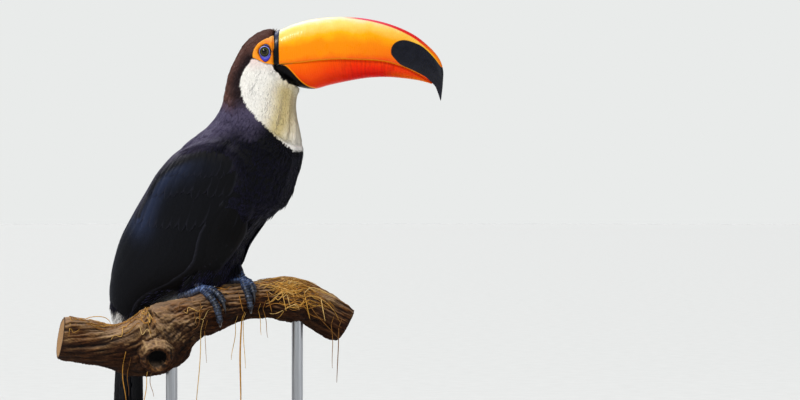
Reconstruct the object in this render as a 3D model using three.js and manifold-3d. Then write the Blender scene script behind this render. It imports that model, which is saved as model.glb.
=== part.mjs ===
// Toco toucan perched on a cut length of branch, held over a flat base by two rods.
//
// Life size, millimetres, +Z up. The origin is the middle of the base's underside. The perch runs
// along X and swings back towards +Y on its +X side. The bird faces +X with its breast turned
// towards -Y, and looks along +X with its head turned back on a vertical neck axis.
//
// The bird has its own directions: u forward, l to its left, w up. Its body is one loft through
// named ribs, parted into head, neck and trunk. Each rib runs from a point on the back to a point
// on the front of the body's middle plane, and has a half width.

import * as THREE from 'three';
import { mergeVertices } from 'three/addons/utils/BufferGeometryUtils.js';
import Module from 'manifold-3d';

const wasm = await Module();
wasm.setup();

// ---------------------------------------------------------------- driving dimensions

const GAP = 0.3; // between two pieces that touch

// Stance: where the bird's middle stands and where body and head point, in degrees from +X.
const BODY_X = -9.5;
const BODY_YAW = -25;
const HEAD_YAW = -4;
const NECK_U = 43; // the vertical axis that the head turns about, ahead of the body's middle

// Body ribs, from the bill's base down to the tips of the tail coverts. turn is the rib's share
// of the head's turn.
const RIBS = [
  { name: 'bill_base', back: [63, 452], front: [87, 392], half: 22, turn: 1 },
  { name: 'forehead', back: [54.5, 455], front: [85, 386.5], half: 24, turn: 1 },
  { name: 'crown', back: [41.5, 451.5], front: [83.5, 381.5], half: 26, turn: 1 },
  { name: 'crown_back', back: [28, 441], front: [83, 375], half: 27.5, turn: 0.95 },
  { name: 'head_back', back: [18.5, 426], front: [83.5, 366.5], half: 29, turn: 0.85 },
  { name: 'nape', back: [10.5, 409], front: [85.5, 357], half: 31, turn: 0.7 },
  { name: 'neck', back: [6.5, 392.5], front: [88, 346.5], half: 34, turn: 0.45 },
  { name: 'collar', back: [1, 373], front: [90, 336], half: 39, turn: 0.2 },
  { name: 'shoulder', back: [-13.5, 355], front: [90, 326], half: 43, turn: 0 },
  { name: 'upper_breast', back: [-35, 340.5], front: [84, 304], half: 46, turn: 0 },
  { name: 'breast', back: [-54, 324], front: [73, 275.5], half: 47, turn: 0 },
  { name: 'mid', back: [-71, 306], front: [50.5, 256.5], half: 46, turn: 0 },
  { name: 'belly', back: [-84, 286], front: [27, 229], half: 43, turn: 0 },
  { name: 'lower_belly', back: [-101, 261], front: [12, 198], half: 39, turn: 0 },
  { name: 'vent', back: [-118, 232], front: [-24, 183], half: 33, turn: 0 },
  { name: 'undertail', back: [-128.5, 196], front: [-68, 168], half: 27, turn: 0 },
  { name: 'coverts', back: [-129.5, 163], front: [-92, 142], half: 23, turn: 0 },
  { name: 'covert_tips', back: [-122.5, 124], front: [-108, 112], half: 16, turn: 0 },
];
const BODY_SIDES = 16;
const CORE_SIDES = 12; // of the hidden core under the wings
const BODY_ROUND = 0.9; // under 1 makes the sections a little squarer than an ellipse
const HEAD_END = 5; // the rib where the head meets the neck
const NECK_END = 7.5; // and the neck the trunk, half way between two ribs
const RIB_GAP = 0.022; // a cut of about GAP, as a share of the step between two ribs
const BODY_STEPS = 2; // rings for each rib

// Folded wings: a slab over the trunk's side, inside this outline. Each point is [u, w, l], where l
// is how near to the body's middle plane the wing reaches there.
const WING_MIDDLE = 0.4; // half the slit where the two wings meet over the back
const WING_OUTLINE = [
  [24, 340, 10],
  [53, 322, 20],
  [58, 296, 22],
  [53, 270, 22],
  [40, 250, 22],
  [12.5, 215.5, 29],
  [-27, 178, 32],
  [-60, 158, 27],
  [-96, 151, 16],
  [-123, 160, 2],
  [-134, 194, WING_MIDDLE],
  [-118, 250, WING_MIDDLE],
  [-92, 283, WING_MIDDLE],
  [-57, 316, 6],
  [-20, 334, 10],
];
const WING_PROUD = 2; // the wing stands this far out of the trunk's surface
const WING_DEEP = 5; // and reaches this far into it
const WING_OUTLINE_STEPS = 26;
const WING_SPAN = 80; // the block that cuts a wing out reaches this far sideways
const WING_ROOT = 6.5; // the rib that the slab's outer layer starts at, above the outline
const WING_STEPS = 1.5; // rings for each rib in the wing's outer face
const WING_CORE_STEPS = 1; // and in its hidden face

// Tail: ten feathers side by side, as one thin arched fan with a notched end.
const TAIL_LENGTH = 144;
const TAIL_FEATHERS = 10;
const TAIL_LINE = [[-113, 174], [-121.5, 110], [-119.5, 30]]; // [u, w] of its middle, bent evenly
const TAIL_HALF_BASE = 18;
const TAIL_HALF_END = 30;
const TAIL_ARCH = 4;
const TAIL_THICK_BASE = 6;
const TAIL_THICK_END = 1.6;
const TAIL_ROUNDED = 12; // the outer feathers end this much sooner than the middle ones
const TAIL_NOTCH = 3;
const TAIL_SPREAD = 0.8; // under 1 widens the fan sooner along its length
const TAIL_THINNING = 0.6; // under 1 thins it sooner
const TAIL_EDGE = 0.55; // share of its thickness lost at the outer edges
const TAIL_STEPS_ALONG = 3;
const TAIL_STEPS_ACROSS = 3; // for each feather

// Bill: top and bottom of each half in the head's middle plane, with half widths.
const BILL_UPPER = [
  { top: [60, 450.5], bottom: [60.5, 415.5], half: 21.7 },
  { top: [77.5, 458], bottom: [79.5, 417.5], half: 21.5 },
  { top: [98.5, 463.5], bottom: [99.5, 420], half: 21 },
  { top: [125.5, 466], bottom: [125.5, 422], half: 19.5 },
  { top: [154, 464], bottom: [151.5, 421.5], half: 17.5 },
  { top: [180, 458], bottom: [173.5, 420], half: 15 },
  { top: [203, 448], bottom: [192.5, 415], half: 12.5 },
  { top: [219.5, 435.5], bottom: [207, 408.5], half: 10 },
  { top: [230.5, 423], bottom: [218.5, 401.5], half: 7.5 },
  { top: [235, 410.5], bottom: [225.8, 396], half: 5 },
  { top: [234.8, 397], bottom: [229, 390], half: 2.8 },
  { top: [233.3, 380.5], bottom: [232.5, 379.5], half: 0.8 },
];
const BILL_LOWER = [
  { top: [61.5, 415], bottom: [62.5, 409], half: 20.5 },
  { top: [66, 415.3], bottom: [67.5, 402], half: 20.8 },
  { top: [73, 416], bottom: [76, 396.5], half: 20.8 },
  { top: [83, 416.8], bottom: [88.5, 392.6], half: 20.5 },
  { top: [96, 418.8], bottom: [101.5, 391.5], half: 19.5 },
  { top: [112, 420.3], bottom: [117, 395.5], half: 18.5 },
  { top: [133, 421.2], bottom: [136, 399.5], half: 16.5 },
  { top: [157, 420.5], bottom: [157, 402.8], half: 14.5 },
  { top: [178, 418.2], bottom: [177, 403.5], half: 12 },
  { top: [195.5, 413], bottom: [193.5, 402.2], half: 9.5 },
  { top: [208.5, 406.8], bottom: [208, 400.2], half: 6.8 },
  { top: [218, 400.8], bottom: [218, 397.8], half: 3.8 },
  { top: [223.5, 396.8], bottom: [223.5, 396], half: 1 },
];
const BILL_SIDES = 16;
const BILL_ROUND = 0.85; // under 1 squares the section off sideways
const BILL_DOME = 0.92; // and upwards
const BILL_TUCK = 0.07; // share of the half width by which the cheek draws in at the gape
const BILL_TUCK_SHARP = 6; // how near the gape it does so
const BILL_RINGS = 17;
const BILL_SEAT = 0.5; // between the bill and the face, so that no sliver of face is left at the gape
const BILL_CUT_WIDER = 8; // the bill's seat cuts right through the sides of the face

// Eyes: balls set in the head.
const EYE_RADIUS = 7.2;
const EYE_AT = [51.5, 19.8, 429]; // u, l of the left one, w
const EYE_SEAT = 0.6; // between the ball and its socket
const EYE_SIDES = 14;
const EYE_RINGS = 8;

// Perch: the branch's middle line as [x, z] and its radius. It swings back as it goes along +X.
const PERCH_SWING = 14;
const PERCH = [
  { x: -175, z: 133, radius: 21.5 },
  { x: -138, z: 127, radius: 23 },
  { x: -109, z: 125.5, radius: 29 },
  { x: -93, z: 125, radius: 33.5 },
  { x: -79, z: 126.5, radius: 33 },
  { x: -67, z: 132, radius: 29.5 },
  { x: -57, z: 140, radius: 25 },
  { x: -47, z: 148, radius: 22 },
  { x: -33, z: 155.5, radius: 20.8 },
  { x: -10, z: 163.5, radius: 20.3 },
  { x: 14, z: 169.5, radius: 18.4 },
  { x: 39, z: 172, radius: 20 },
  { x: 62, z: 169.5, radius: 22.2 },
  { x: 84, z: 163, radius: 20 },
  { x: 118, z: 144, radius: 19 },
];
const PERCH_RINGS = 26;
const PERCH_SIDES = 12;
const PERCH_LUMPS = 0.035; // share of the radius
const KNOT = {
  x: -84,
  tilt: 20, // degrees below the level line
  rootRadius: 16.25,
  radius: 13,
  buried: 10, // its root's distance from the perch's middle line
  proud: 7,
  hollowRadius: 8,
  hollowEnd: 4.8,
  depth: 9,
  sides: 14,
};
const PERCH_RIPPLES = { // three and five lumps round the perch, that twist along it
  three: { count: 3, turn: 31, share: 1 },
  five: { count: 5, turn: -53, share: 0.7 },
};

// Feet. Each toe is a list of stations on the perch: [ahead along X from the foot's middle,
// degrees round the perch from its top towards -Y], and the last station is the claw's tip.
const FOOT_SEAT = 14; // degrees round the perch of the foot's middle
const FOOT_BALL = 5;
const TARSUS_RADIUS = 4.2;
const TARSUS_SHOWS = 10;
const TARSUS_SLOPE = 50; // degrees above the level line, going back
const TOE_RADIUS = 3.9;
const TOE_TIP_RADIUS = 3.1;
const CLAW_RADIUS = 2.5;
const CLAW_TIP_RADIUS = 0.5;
const CLAW_LENGTH = 12.5;
const CLAW_ROOT = 0.6; // how far the claw is set back before its toe cuts it off
const GRIP_GAP = 0.4; // between a toe and the bark
const FEET = {
  right: {
    x: -31,
    toes: [
      [[9.5, 50], [16, 76], [18.5, 98], [20, 120], [20, 148]],
      [[8.5, 30], [16, 46], [21.5, 64], [24.5, 84], [26, 108]],
      [[-8, 8], [-16, -1], [-22, -22], [-25, -46], [-26, -72]],
      [[-2, -12], [-3.5, -36], [-4, -60], [-4, -88]],
    ],
  },
  left: {
    x: 12,
    toes: [
      [[2, 40], [5, 64], [7.5, 88], [8.5, 108], [8.5, 138]],
      [[6, 32], [10, 50], [12, 72], [12.5, 102]],
      [[-7, 4], [-13, -12], [-18, -34], [-20, -58], [-20.5, -88]],
      [[-1, -14], [-2, -40], [-2, -64], [-1.5, -94]],
    ],
  },
};
const LEG_ROOT = [2, 16, 238]; // u, l of the left one, w of the thigh's top
const LEG_ROOT_RADIUS = 13;
const LEG_END_RADIUS = 8.6;
const LEG_FALL = 16; // how far above its end the thigh lines up with the tarsus
const LEG_TAPER = 1.5; // over 1 keeps the thigh full for longer
const LEG_RINGS = 7;
const LEG_SIDES = 12;
const TOE_RINGS = 6;
const TOE_SIDES = 6;
const CLAW_TAPER = 1.3;
const CLAW_RINGS = 5;
const BALL_SIDES = 10;
const BALL_RINGS = 6;
const TARSUS_SIDES = 8;
const CURVE_STEPS = 10;

// Stand.
const BASE = { length: 310, width: 196, height: 15, corner: 28, bevel: 2 };
const BASE_CORNER_STEPS = 4;
const ROD_RADIUS = 6;
const ROD_SIDES = 20;
const ROD_AT_X = [68, -62];

// Colours.
const BLACK_FEATHER = 0x14141a;
const WHITE_FEATHER = 0xe9e1cf;
const BROWN_FEATHER = 0x2c201f;
const BILL_ORANGE = 0xf79a12;
const BILL_RED = 0xe8480e;
const EYE_DARK = 0x17130f;
const FOOT_BLUE = 0x5a6a86;
const CLAW_BLACK = 0x16161a;
const BARK_BROWN = 0x6f4b2b;
const BASE_WALNUT = 0x35231a;
const ROD_STEEL = 0xa9adb0;

// Roughness, from 0 for a mirror to 1 for chalk.
const FEATHERY = 0.6;
const BARKY = 0.9;
const HORNY = 0.3;
const LEATHERY = 0.5;
const WET = 0.1;
const OILED = 0.4;
const SATIN = 0.3;

// ---------------------------------------------------------------- directions and curves

const rad = THREE.MathUtils.degToRad;
const { lerp } = THREE.MathUtils;
const SMALL_STEP = 0.004; // share of a line, to see which way it runs
const CLOSE = 1e-5; // share of a line, near enough to the place looked for
const SAME_POINT = 1e-4; // two corners this near are one

/** A point of the bird, given along its own directions, with the rib's share of the head's turn. */
function birdPoint(u, l, w, turn = 0) {
  const body = rad(BODY_YAW);
  const yaw = rad(lerp(BODY_YAW, HEAD_YAW, turn));
  const ahead = u - NECK_U;
  const x = BODY_X + NECK_U * Math.cos(body) + ahead * Math.cos(yaw) - l * Math.sin(yaw);
  const y = NECK_U * Math.sin(body) + ahead * Math.sin(yaw) + l * Math.cos(yaw);
  return new THREE.Vector3(x, y, w);
}

/** A smooth line through the stations' values, three at a time. */
function lineThrough(stations, values) {
  return new THREE.CatmullRomCurve3(stations.map((station) => new THREE.Vector3(...values(station))));
}

/** sin or cos pulled towards 1, so that a round section fills out. */
function filledOut(value, power) {
  return Math.sign(value) * Math.abs(value) ** power;
}

// ---------------------------------------------------------------- solids

/** A closed body through rings of points, each ring with the same even count. */
function loft(rings) {
  const sides = rings[0].length;
  const positions = rings.flat().flatMap((point) => [point.x, point.y, point.z]);
  const faces = [];
  for (let ring = 0; ring < rings.length - 1; ring += 1) {
    for (let side = 0; side < sides; side += 1) {
      const a = ring * sides + side;
      const b = ring * sides + ((side + 1) % sides);
      faces.push([a, b, b + sides], [a, b + sides, a + sides]);
    }
  }
  for (let side = 0; side < sides / 2 - 1; side += 1) {
    const opposite = sides - 1 - side;
    const end = (rings.length - 1) * sides;
    faces.push([side, opposite, opposite - 1], [side, opposite - 1, side + 1]);
    faces.push([end + side, end + opposite - 1, end + opposite]);
    faces.push([end + side, end + side + 1, end + opposite - 1]);
  }
  return facingOut(positions, faces);
}

/** Geometry of a closed body, with its faces turned outwards. */
function facingOut(positions, faces) {
  const corner = (index) => new THREE.Vector3().fromArray(positions, index * 3);
  const inside = faces.reduce(
    (sum, [a, b, c]) => sum + corner(a).dot(corner(b).cross(corner(c))),
    0,
  );
  const turned = inside < 0 ? faces.map(([a, b, c]) => [a, c, b]) : faces;
  const geometry = new THREE.BufferGeometry();
  geometry.setAttribute('position', new THREE.Float32BufferAttribute(positions, 3));
  geometry.setIndex(turned.flat());
  return geometry;
}

/** The manifold solid of a closed geometry. */
function solid(geometry) {
  const plain = geometry.clone();
  plain.deleteAttribute('normal');
  plain.deleteAttribute('uv');
  const merged = mergeVertices(plain, SAME_POINT);
  return new wasm.Manifold(
    new wasm.Mesh({
      numProp: 3,
      vertProperties: new Float32Array(merged.attributes.position.array),
      triVerts: new Uint32Array(merged.index.array),
    }),
  );
}

/** The geometry of a manifold solid. */
function geometryOf(manifold) {
  const mesh = manifold.getMesh();
  const geometry = new THREE.BufferGeometry();
  geometry.setAttribute('position', new THREE.Float32BufferAttribute(mesh.vertProperties, 3));
  geometry.setIndex(Array.from(mesh.triVerts));
  return geometry;
}

/** A ball's geometry. */
function ballAt(middle, radius, sides, rings) {
  return new THREE.SphereGeometry(radius, sides, rings).translate(middle.x, middle.y, middle.z);
}

/** A round rod with a changing radius along a curve, made larger by grow all round. */
function taperedRod(curve, radiusAt, rings, sides, grow = 0) {
  const frames = curve.computeFrenetFrames(rings - 1);
  const loops = [];
  for (let ring = 0; ring < rings; ring += 1) {
    const share = ring / (rings - 1);
    const radius = radiusAt(share) + grow;
    const middle = curve.getPointAt(share);
    if (ring === 0) {
      middle.addScaledVector(frames.tangents[ring], -grow);
    }
    if (ring === rings - 1) {
      middle.addScaledVector(frames.tangents[ring], grow);
    }
    const loop = [];
    for (let side = 0; side < sides; side += 1) {
      const angle = (2 * Math.PI * (side + 0.5)) / sides;
      const point = middle.clone();
      point.addScaledVector(frames.normals[ring], radius * Math.cos(angle));
      point.addScaledVector(frames.binormals[ring], radius * Math.sin(angle));
      loop.push(point);
    }
    loops.push(loop);
  }
  return loft(loops);
}

// ---------------------------------------------------------------- body

const backLine = lineThrough(RIBS, (rib) => [rib.back[0], rib.back[1], rib.half]);
const frontLine = lineThrough(RIBS, (rib) => [rib.front[0], rib.front[1], rib.turn]);

/** The body's section at a place counted in ribs, made larger by grow all round. */
function bodyRing(place, grow, sides) {
  const share = place / (RIBS.length - 1);
  const back = backLine.getPoint(share);
  const front = frontLine.getPoint(share);
  const middle = new THREE.Vector2((back.x + front.x) / 2, (back.y + front.y) / 2);
  const reach = new THREE.Vector2((back.x - front.x) / 2, (back.y - front.y) / 2);
  reach.setLength(reach.length() + grow);
  const ring = [];
  for (let side = 0; side < sides; side += 1) {
    const angle = (2 * Math.PI * (side + 0.5)) / sides;
    const toBack = filledOut(Math.cos(angle), BODY_ROUND);
    const toLeft = filledOut(Math.sin(angle), BODY_ROUND) * (back.z + grow);
    ring.push(birdPoint(middle.x + reach.x * toBack, toLeft, middle.y + reach.y * toBack, front.z));
  }
  return ring;
}

/** A length of the body between two places, each counted in ribs. */
function bodyLength(from, to, grow = 0, perRib = BODY_STEPS, sides = BODY_SIDES) {
  const steps = Math.ceil((to - from) * perRib);
  const rings = [];
  for (let step = 0; step <= steps; step += 1) {
    rings.push(bodyRing(lerp(from, to, step / steps), grow, sides));
  }
  return solid(loft(rings));
}

const TRUNK_END = RIBS.length - 1;

// ---------------------------------------------------------------- wings

/** A block over one side of the body, inside the wing's outline made larger by margin. */
function wingBlock(side, margin) {
  const points = WING_OUTLINE.map(([u, w, l]) => new THREE.Vector3(u, w, l));
  const outline = new THREE.CatmullRomCurve3(points, true).getPoints(WING_OUTLINE_STEPS).slice(0, -1);
  const count = outline.length;
  const corners = outline.map((point, index) => {
    const before = outline[(index + count - 1) % count];
    const after = outline[(index + 1) % count];
    const outwards = new THREE.Vector3(before.y - after.y, after.x - before.x, 0).normalize();
    return point.clone().addScaledVector(outwards, margin);
  });
  const pastMiddle = margin > 0 ? 2 * WING_MIDDLE + margin : 0;
  const near = corners.map((corner) => birdPoint(corner.x, side * (corner.z - pastMiddle), corner.y));
  const far = corners.map((corner) => birdPoint(corner.x, side * WING_SPAN, corner.y));
  return solid(blockBetween([near, far]));
}

/** A block between two outlines that may be hollowed in, closed by flat ends. */
function blockBetween([near, far]) {
  const flat = near.map((point) => {
    const across = point.clone().sub(near[0]);
    const level = new THREE.Vector3(Math.cos(rad(BODY_YAW)), Math.sin(rad(BODY_YAW)), 0);
    return new THREE.Vector2(across.dot(level), across.z);
  });
  const ends = THREE.ShapeUtils.triangulateShape(flat, []);
  const count = near.length;
  const faces = ends.map(([a, b, c]) => [a, c, b]);
  ends.forEach(([a, b, c]) => faces.push([a + count, b + count, c + count]));
  const clockwise = THREE.ShapeUtils.isClockWise(flat);
  for (let index = 0; index < count; index += 1) {
    const next = (index + 1) % count;
    const sides = [[index, next, next + count], [index, next + count, index + count]];
    sides.forEach(([a, b, c]) => faces.push(clockwise ? [a, c, b] : [a, b, c]));
  }
  return facingOut(
    [...near, ...far].flatMap((point) => [point.x, point.y, point.z]),
    faces,
  );
}

/** The wing's slab: its block cut out of the body's outer layer. */
function wingSlab(side, margin, proud, deep) {
  const outer = bodyLength(WING_ROOT, TRUNK_END, proud, WING_STEPS);
  const inner = bodyLength(WING_ROOT, TRUNK_END, -deep, WING_CORE_STEPS, CORE_SIDES);
  return outer.intersect(wingBlock(side, margin)).subtract(inner);
}

// ---------------------------------------------------------------- tail

/** The tail as rings across it: each goes down its upper side and back up its under side. */
function tailSolid(grow = 0) {
  const line = new THREE.QuadraticBezierCurve3(
    ...TAIL_LINE.map(([u, w]) => new THREE.Vector3(u, w, 0)),
  );
  const acrossSteps = TAIL_FEATHERS * TAIL_STEPS_ACROSS;
  const rings = [];
  for (let step = 0; step <= acrossSteps; step += 1) {
    const across = (2 * step) / acrossSteps - 1;
    const inFeather = ((across + 1) * TAIL_FEATHERS) / 2 % 1;
    const notch = TAIL_NOTCH * Math.abs(2 * inFeather - 1) ** 2;
    const reach = 1 - (TAIL_ROUNDED * across ** 2 + notch) / TAIL_LENGTH;
    const under = [];
    const upper = [];
    for (let at = 0; at <= TAIL_STEPS_ALONG; at += 1) {
      const share = (at / TAIL_STEPS_ALONG) * reach;
      const middle = line.getPoint(share);
      const down = line.getTangent(share);
      const half = lerp(TAIL_HALF_BASE, TAIL_HALF_END, share ** TAIL_SPREAD) + grow;
      const thick = lerp(TAIL_THICK_BASE, TAIL_THICK_END, share ** TAIL_THINNING) / 2;
      const edge = (thick + grow) * (1 - TAIL_EDGE * across ** 2);
      const arch = TAIL_ARCH * across ** 2;
      const back = new THREE.Vector2(down.y, -down.x);
      const put = (out) =>
        birdPoint(middle.x + back.x * out, across * half, middle.y + back.y * out);
      upper.push(put(edge - arch));
      under.push(put(-edge - arch));
    }
    rings.push([...upper, ...under.reverse()]);
  }
  return solid(loft(rings));
}

// ---------------------------------------------------------------- bill

/** Half of the bill: a loft of sections that are flat at the gape and domed away from it. */
function billHalf(stations, domeUp, grow = 0, wider = 0) {
  const tops = lineThrough(stations, (station) => [station.top[0], station.top[1], station.half]);
  const bottoms = lineThrough(stations, (station) => [station.bottom[0], station.bottom[1], 0]);
  const rings = [];
  for (let ring = 0; ring <= BILL_RINGS; ring += 1) {
    const top = tops.getPoint(ring / BILL_RINGS);
    const bottom = bottoms.getPoint(ring / BILL_RINGS);
    const foot = domeUp ? bottom : top;
    const ridge = domeUp ? top : bottom;
    const behind = ring === 0 ? grow : 0;
    const rise = new THREE.Vector2(ridge.x - foot.x, ridge.y - foot.y);
    const height = rise.length();
    rise.normalize();
    const loop = [];
    for (let side = 0; side < BILL_SIDES; side += 1) {
      const angle = (Math.PI * side) / (BILL_SIDES - 1);
      const cheek = 1 - BILL_TUCK * Math.cos(angle) ** BILL_TUCK_SHARP;
      const toLeft = filledOut(Math.cos(angle), BILL_ROUND) * cheek * (top.z + grow + wider);
      const up = filledOut(Math.sin(angle), BILL_DOME) * (height + 2 * grow) - grow;
      loop.push(birdPoint(foot.x + rise.x * up - behind, toLeft, foot.y + rise.y * up, 1));
    }
    rings.push(loop);
  }
  return solid(loft(rings));
}

// ---------------------------------------------------------------- perch

const perchLine = lineThrough(PERCH, (station) => [station.x, station.z, station.radius]);

/** The point of the perch's middle line at a share of its length. */
function perchMiddle(share) {
  const at = perchLine.getPoint(share);
  return new THREE.Vector3(at.x, at.x * Math.tan(rad(PERCH_SWING)), at.y);
}

/** A point at an angle round the perch from its top towards -Y, lifted off the bark. */
function perchPoint(share, degrees, lift = 0) {
  const after = perchMiddle(Math.min(share + SMALL_STEP, 1));
  const ahead = after.sub(perchMiddle(Math.max(share - SMALL_STEP, 0)));
  ahead.normalize();
  const front = ahead.clone().cross(new THREE.Vector3(0, 0, 1)).normalize();
  const up = front.clone().cross(ahead).normalize();
  const angle = rad(degrees);
  const radius = perchLine.getPoint(share).z;
  const lumps = Object.values(PERCH_RIPPLES).reduce(
    (sum, ripple) => sum + ripple.share * Math.sin(ripple.count * angle + ripple.turn * share),
    0,
  );
  const out = radius * (1 + PERCH_LUMPS * lumps) + lift;
  const point = perchMiddle(share);
  point.addScaledVector(up, out * Math.cos(angle));
  return point.addScaledVector(front, out * Math.sin(angle));
}

/** The share of the perch's length at which a line along it passes x. */
function perchShare(x, pointAt = perchMiddle) {
  let low = 0;
  let high = 1;
  while (high - low > CLOSE) {
    const middle = (low + high) / 2;
    if (pointAt(middle).x < x) {
      low = middle;
    } else {
      high = middle;
    }
  }
  return low;
}

/** The point at x on the line that runs along the perch at an angle, lifted off the bark. */
function perchPointAtX(x, degrees, lift) {
  return perchPoint(perchShare(x, (share) => perchPoint(share, degrees, lift)), degrees, lift);
}

/** The bare branch, made larger by grow. */
function perchBody(grow = 0) {
  const rings = [];
  for (let ring = 0; ring <= PERCH_RINGS; ring += 1) {
    const loop = [];
    for (let side = 0; side < PERCH_SIDES; side += 1) {
      loop.push(perchPoint(ring / PERCH_RINGS, (360 * (side + 0.5)) / PERCH_SIDES, grow));
    }
    rings.push(loop);
  }
  return solid(loft(rings));
}

/** The stub of a lost side branch, looking out of the perch, and the rotten hollow in it. */
function knotSolids() {
  const share = perchShare(KNOT.x);
  const middle = perchMiddle(share);
  const outwards = perchPoint(share, 90 + KNOT.tilt).sub(middle);
  const reach = outwards.length() + KNOT.proud;
  outwards.normalize();
  const rod = (radius, end, from, to) => {
    const start = middle.clone().addScaledVector(outwards, from);
    const finish = middle.clone().addScaledVector(outwards, to);
    const line = new THREE.LineCurve3(start, finish);
    return solid(taperedRod(line, (at) => lerp(radius, end, at), 2, KNOT.sides));
  };
  return {
    stub: rod(KNOT.rootRadius, KNOT.radius, KNOT.buried, reach),
    hollow: rod(KNOT.hollowEnd, KNOT.hollowRadius, reach - KNOT.depth, reach + KNOT.buried),
  };
}

// ---------------------------------------------------------------- legs, feet and claws

/** The middle of a foot, on top of the perch. */
function footMiddle(foot) {
  return perchPointAtX(foot.x, FOOT_SEAT, FOOT_BALL + GRIP_GAP);
}

/** The way the tarsus goes up and back from the foot. */
function tarsusWay() {
  const back = Math.cos(rad(TARSUS_SLOPE));
  const yaw = rad(BODY_YAW);
  return new THREE.Vector3(-back * Math.cos(yaw), -back * Math.sin(yaw), Math.sin(rad(TARSUS_SLOPE)));
}

/** The feathered thigh, from inside the flank to where the bare tarsus starts. */
function legSolid(foot, side, grow = 0) {
  const end = footMiddle(foot).addScaledVector(tarsusWay(), TARSUS_SHOWS + GAP);
  const above = end.clone().addScaledVector(tarsusWay(), LEG_FALL);
  const root = birdPoint(LEG_ROOT[0], side * LEG_ROOT[1], LEG_ROOT[2]);
  const line = new THREE.QuadraticBezierCurve3(root, above, end);
  const radiusAt = (share) => lerp(LEG_ROOT_RADIUS, LEG_END_RADIUS, share ** LEG_TAPER);
  return solid(taperedRod(line, radiusAt, LEG_RINGS, LEG_SIDES, grow));
}

/** One toe's line from the foot's middle over the bark to its claw's tip. */
function toeLine(foot, stations) {
  const points = [footMiddle(foot)];
  stations.forEach(([ahead, degrees], index) => {
    const radius = index === stations.length - 1 ? CLAW_TIP_RADIUS : TOE_RADIUS;
    points.push(perchPointAtX(foot.x + ahead, degrees, radius + GRIP_GAP));
  });
  return new THREE.CatmullRomCurve3(points);
}

/** The part of a curve between two shares of its length. */
function partOf(curve, from, to) {
  const points = [];
  for (let step = 0; step <= CURVE_STEPS; step += 1) {
    points.push(curve.getPointAt(lerp(from, to, step / CURVE_STEPS)));
  }
  return new THREE.CatmullRomCurve3(points);
}

/** A toe from the foot's middle to the root of its claw. */
function toeSolid(foot, stations, grow) {
  const line = toeLine(foot, stations);
  const end = 1 - CLAW_LENGTH / line.getLength();
  const radiusAt = (share) => lerp(TOE_RADIUS, TOE_TIP_RADIUS, share);
  return solid(taperedRod(partOf(line, 0, end), radiusAt, TOE_RINGS, TOE_SIDES, grow));
}

/** A claw, which starts a little way inside its toe. */
function clawSolid(foot, stations) {
  const line = toeLine(foot, stations);
  const start = 1 - (CLAW_LENGTH + CLAW_ROOT) / line.getLength();
  const radiusAt = (share) => lerp(CLAW_RADIUS, CLAW_TIP_RADIUS, share ** CLAW_TAPER);
  return solid(taperedRod(partOf(line, start, 1), radiusAt, CLAW_RINGS, TOE_SIDES));
}

/** The bare foot: tarsus, ball and four toes as one. */
function footSolid(foot, grow = 0) {
  const middle = footMiddle(foot);
  const top = middle.clone().addScaledVector(tarsusWay(), TARSUS_SHOWS);
  const ball = ballAt(middle, FOOT_BALL + grow, BALL_SIDES, BALL_RINGS);
  const tarsusLine = new THREE.LineCurve3(middle, top);
  const tarsus = taperedRod(tarsusLine, () => TARSUS_RADIUS, 2, TARSUS_SIDES, grow);
  return foot.toes.reduce(
    (body, stations) => body.add(toeSolid(foot, stations, grow)),
    solid(ball).add(solid(tarsus)),
  );
}

// ---------------------------------------------------------------- stand

/** The flat base: a plate with round corners and a narrow bevel all round. */
function baseGeometry() {
  const halfLength = BASE.length / 2 - BASE.bevel;
  const halfWidth = BASE.width / 2 - BASE.bevel;
  const corner = BASE.corner;
  const shape = new THREE.Shape();
  shape.moveTo(-halfLength + corner, -halfWidth);
  shape.lineTo(halfLength - corner, -halfWidth);
  shape.absarc(halfLength - corner, -halfWidth + corner, corner, -Math.PI / 2, 0);
  shape.lineTo(halfLength, halfWidth - corner);
  shape.absarc(halfLength - corner, halfWidth - corner, corner, 0, Math.PI / 2);
  shape.lineTo(-halfLength + corner, halfWidth);
  shape.absarc(-halfLength + corner, halfWidth - corner, corner, Math.PI / 2, Math.PI);
  shape.lineTo(-halfLength, -halfWidth + corner);
  shape.absarc(-halfLength + corner, -halfWidth + corner, corner, Math.PI, 1.5 * Math.PI);
  return new THREE.ExtrudeGeometry(shape, {
    depth: BASE.height - 2 * BASE.bevel,
    bevelThickness: BASE.bevel,
    bevelSize: BASE.bevel,
    bevelSegments: 1,
    curveSegments: BASE_CORNER_STEPS,
  }).translate(0, 0, BASE.bevel);
}

/** A rod from the base up to the perch's underside. */
function rodSolid(x, perchGrown) {
  const middle = perchMiddle(perchShare(x));
  const bottom = BASE.height + GAP;
  const height = middle.z - bottom;
  const rod = new THREE.CylinderGeometry(ROD_RADIUS, ROD_RADIUS, height, ROD_SIDES);
  rod.rotateX(Math.PI / 2);
  rod.translate(middle.x, middle.y, bottom + height / 2);
  return solid(rod).subtract(perchGrown);
}

// ---------------------------------------------------------------- assembly

const group = new THREE.Group();

/** Adds one named sub-part. */
function add(name, geometry, color, roughness = FEATHERY, metalness = 0) {
  geometry.computeVertexNormals();
  const material = new THREE.MeshStandardMaterial({ color, roughness, metalness });
  const mesh = new THREE.Mesh(geometry, material);
  mesh.name = name;
  group.add(mesh);
}

const SIDES = { right: -1, left: 1 };
const perch = perchBody();
const perchGrown = perchBody(GAP);
const knot = knotSolids();
add('perch', geometryOf(perch.add(knot.stub).subtract(knot.hollow)), BARK_BROWN, BARKY);

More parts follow.
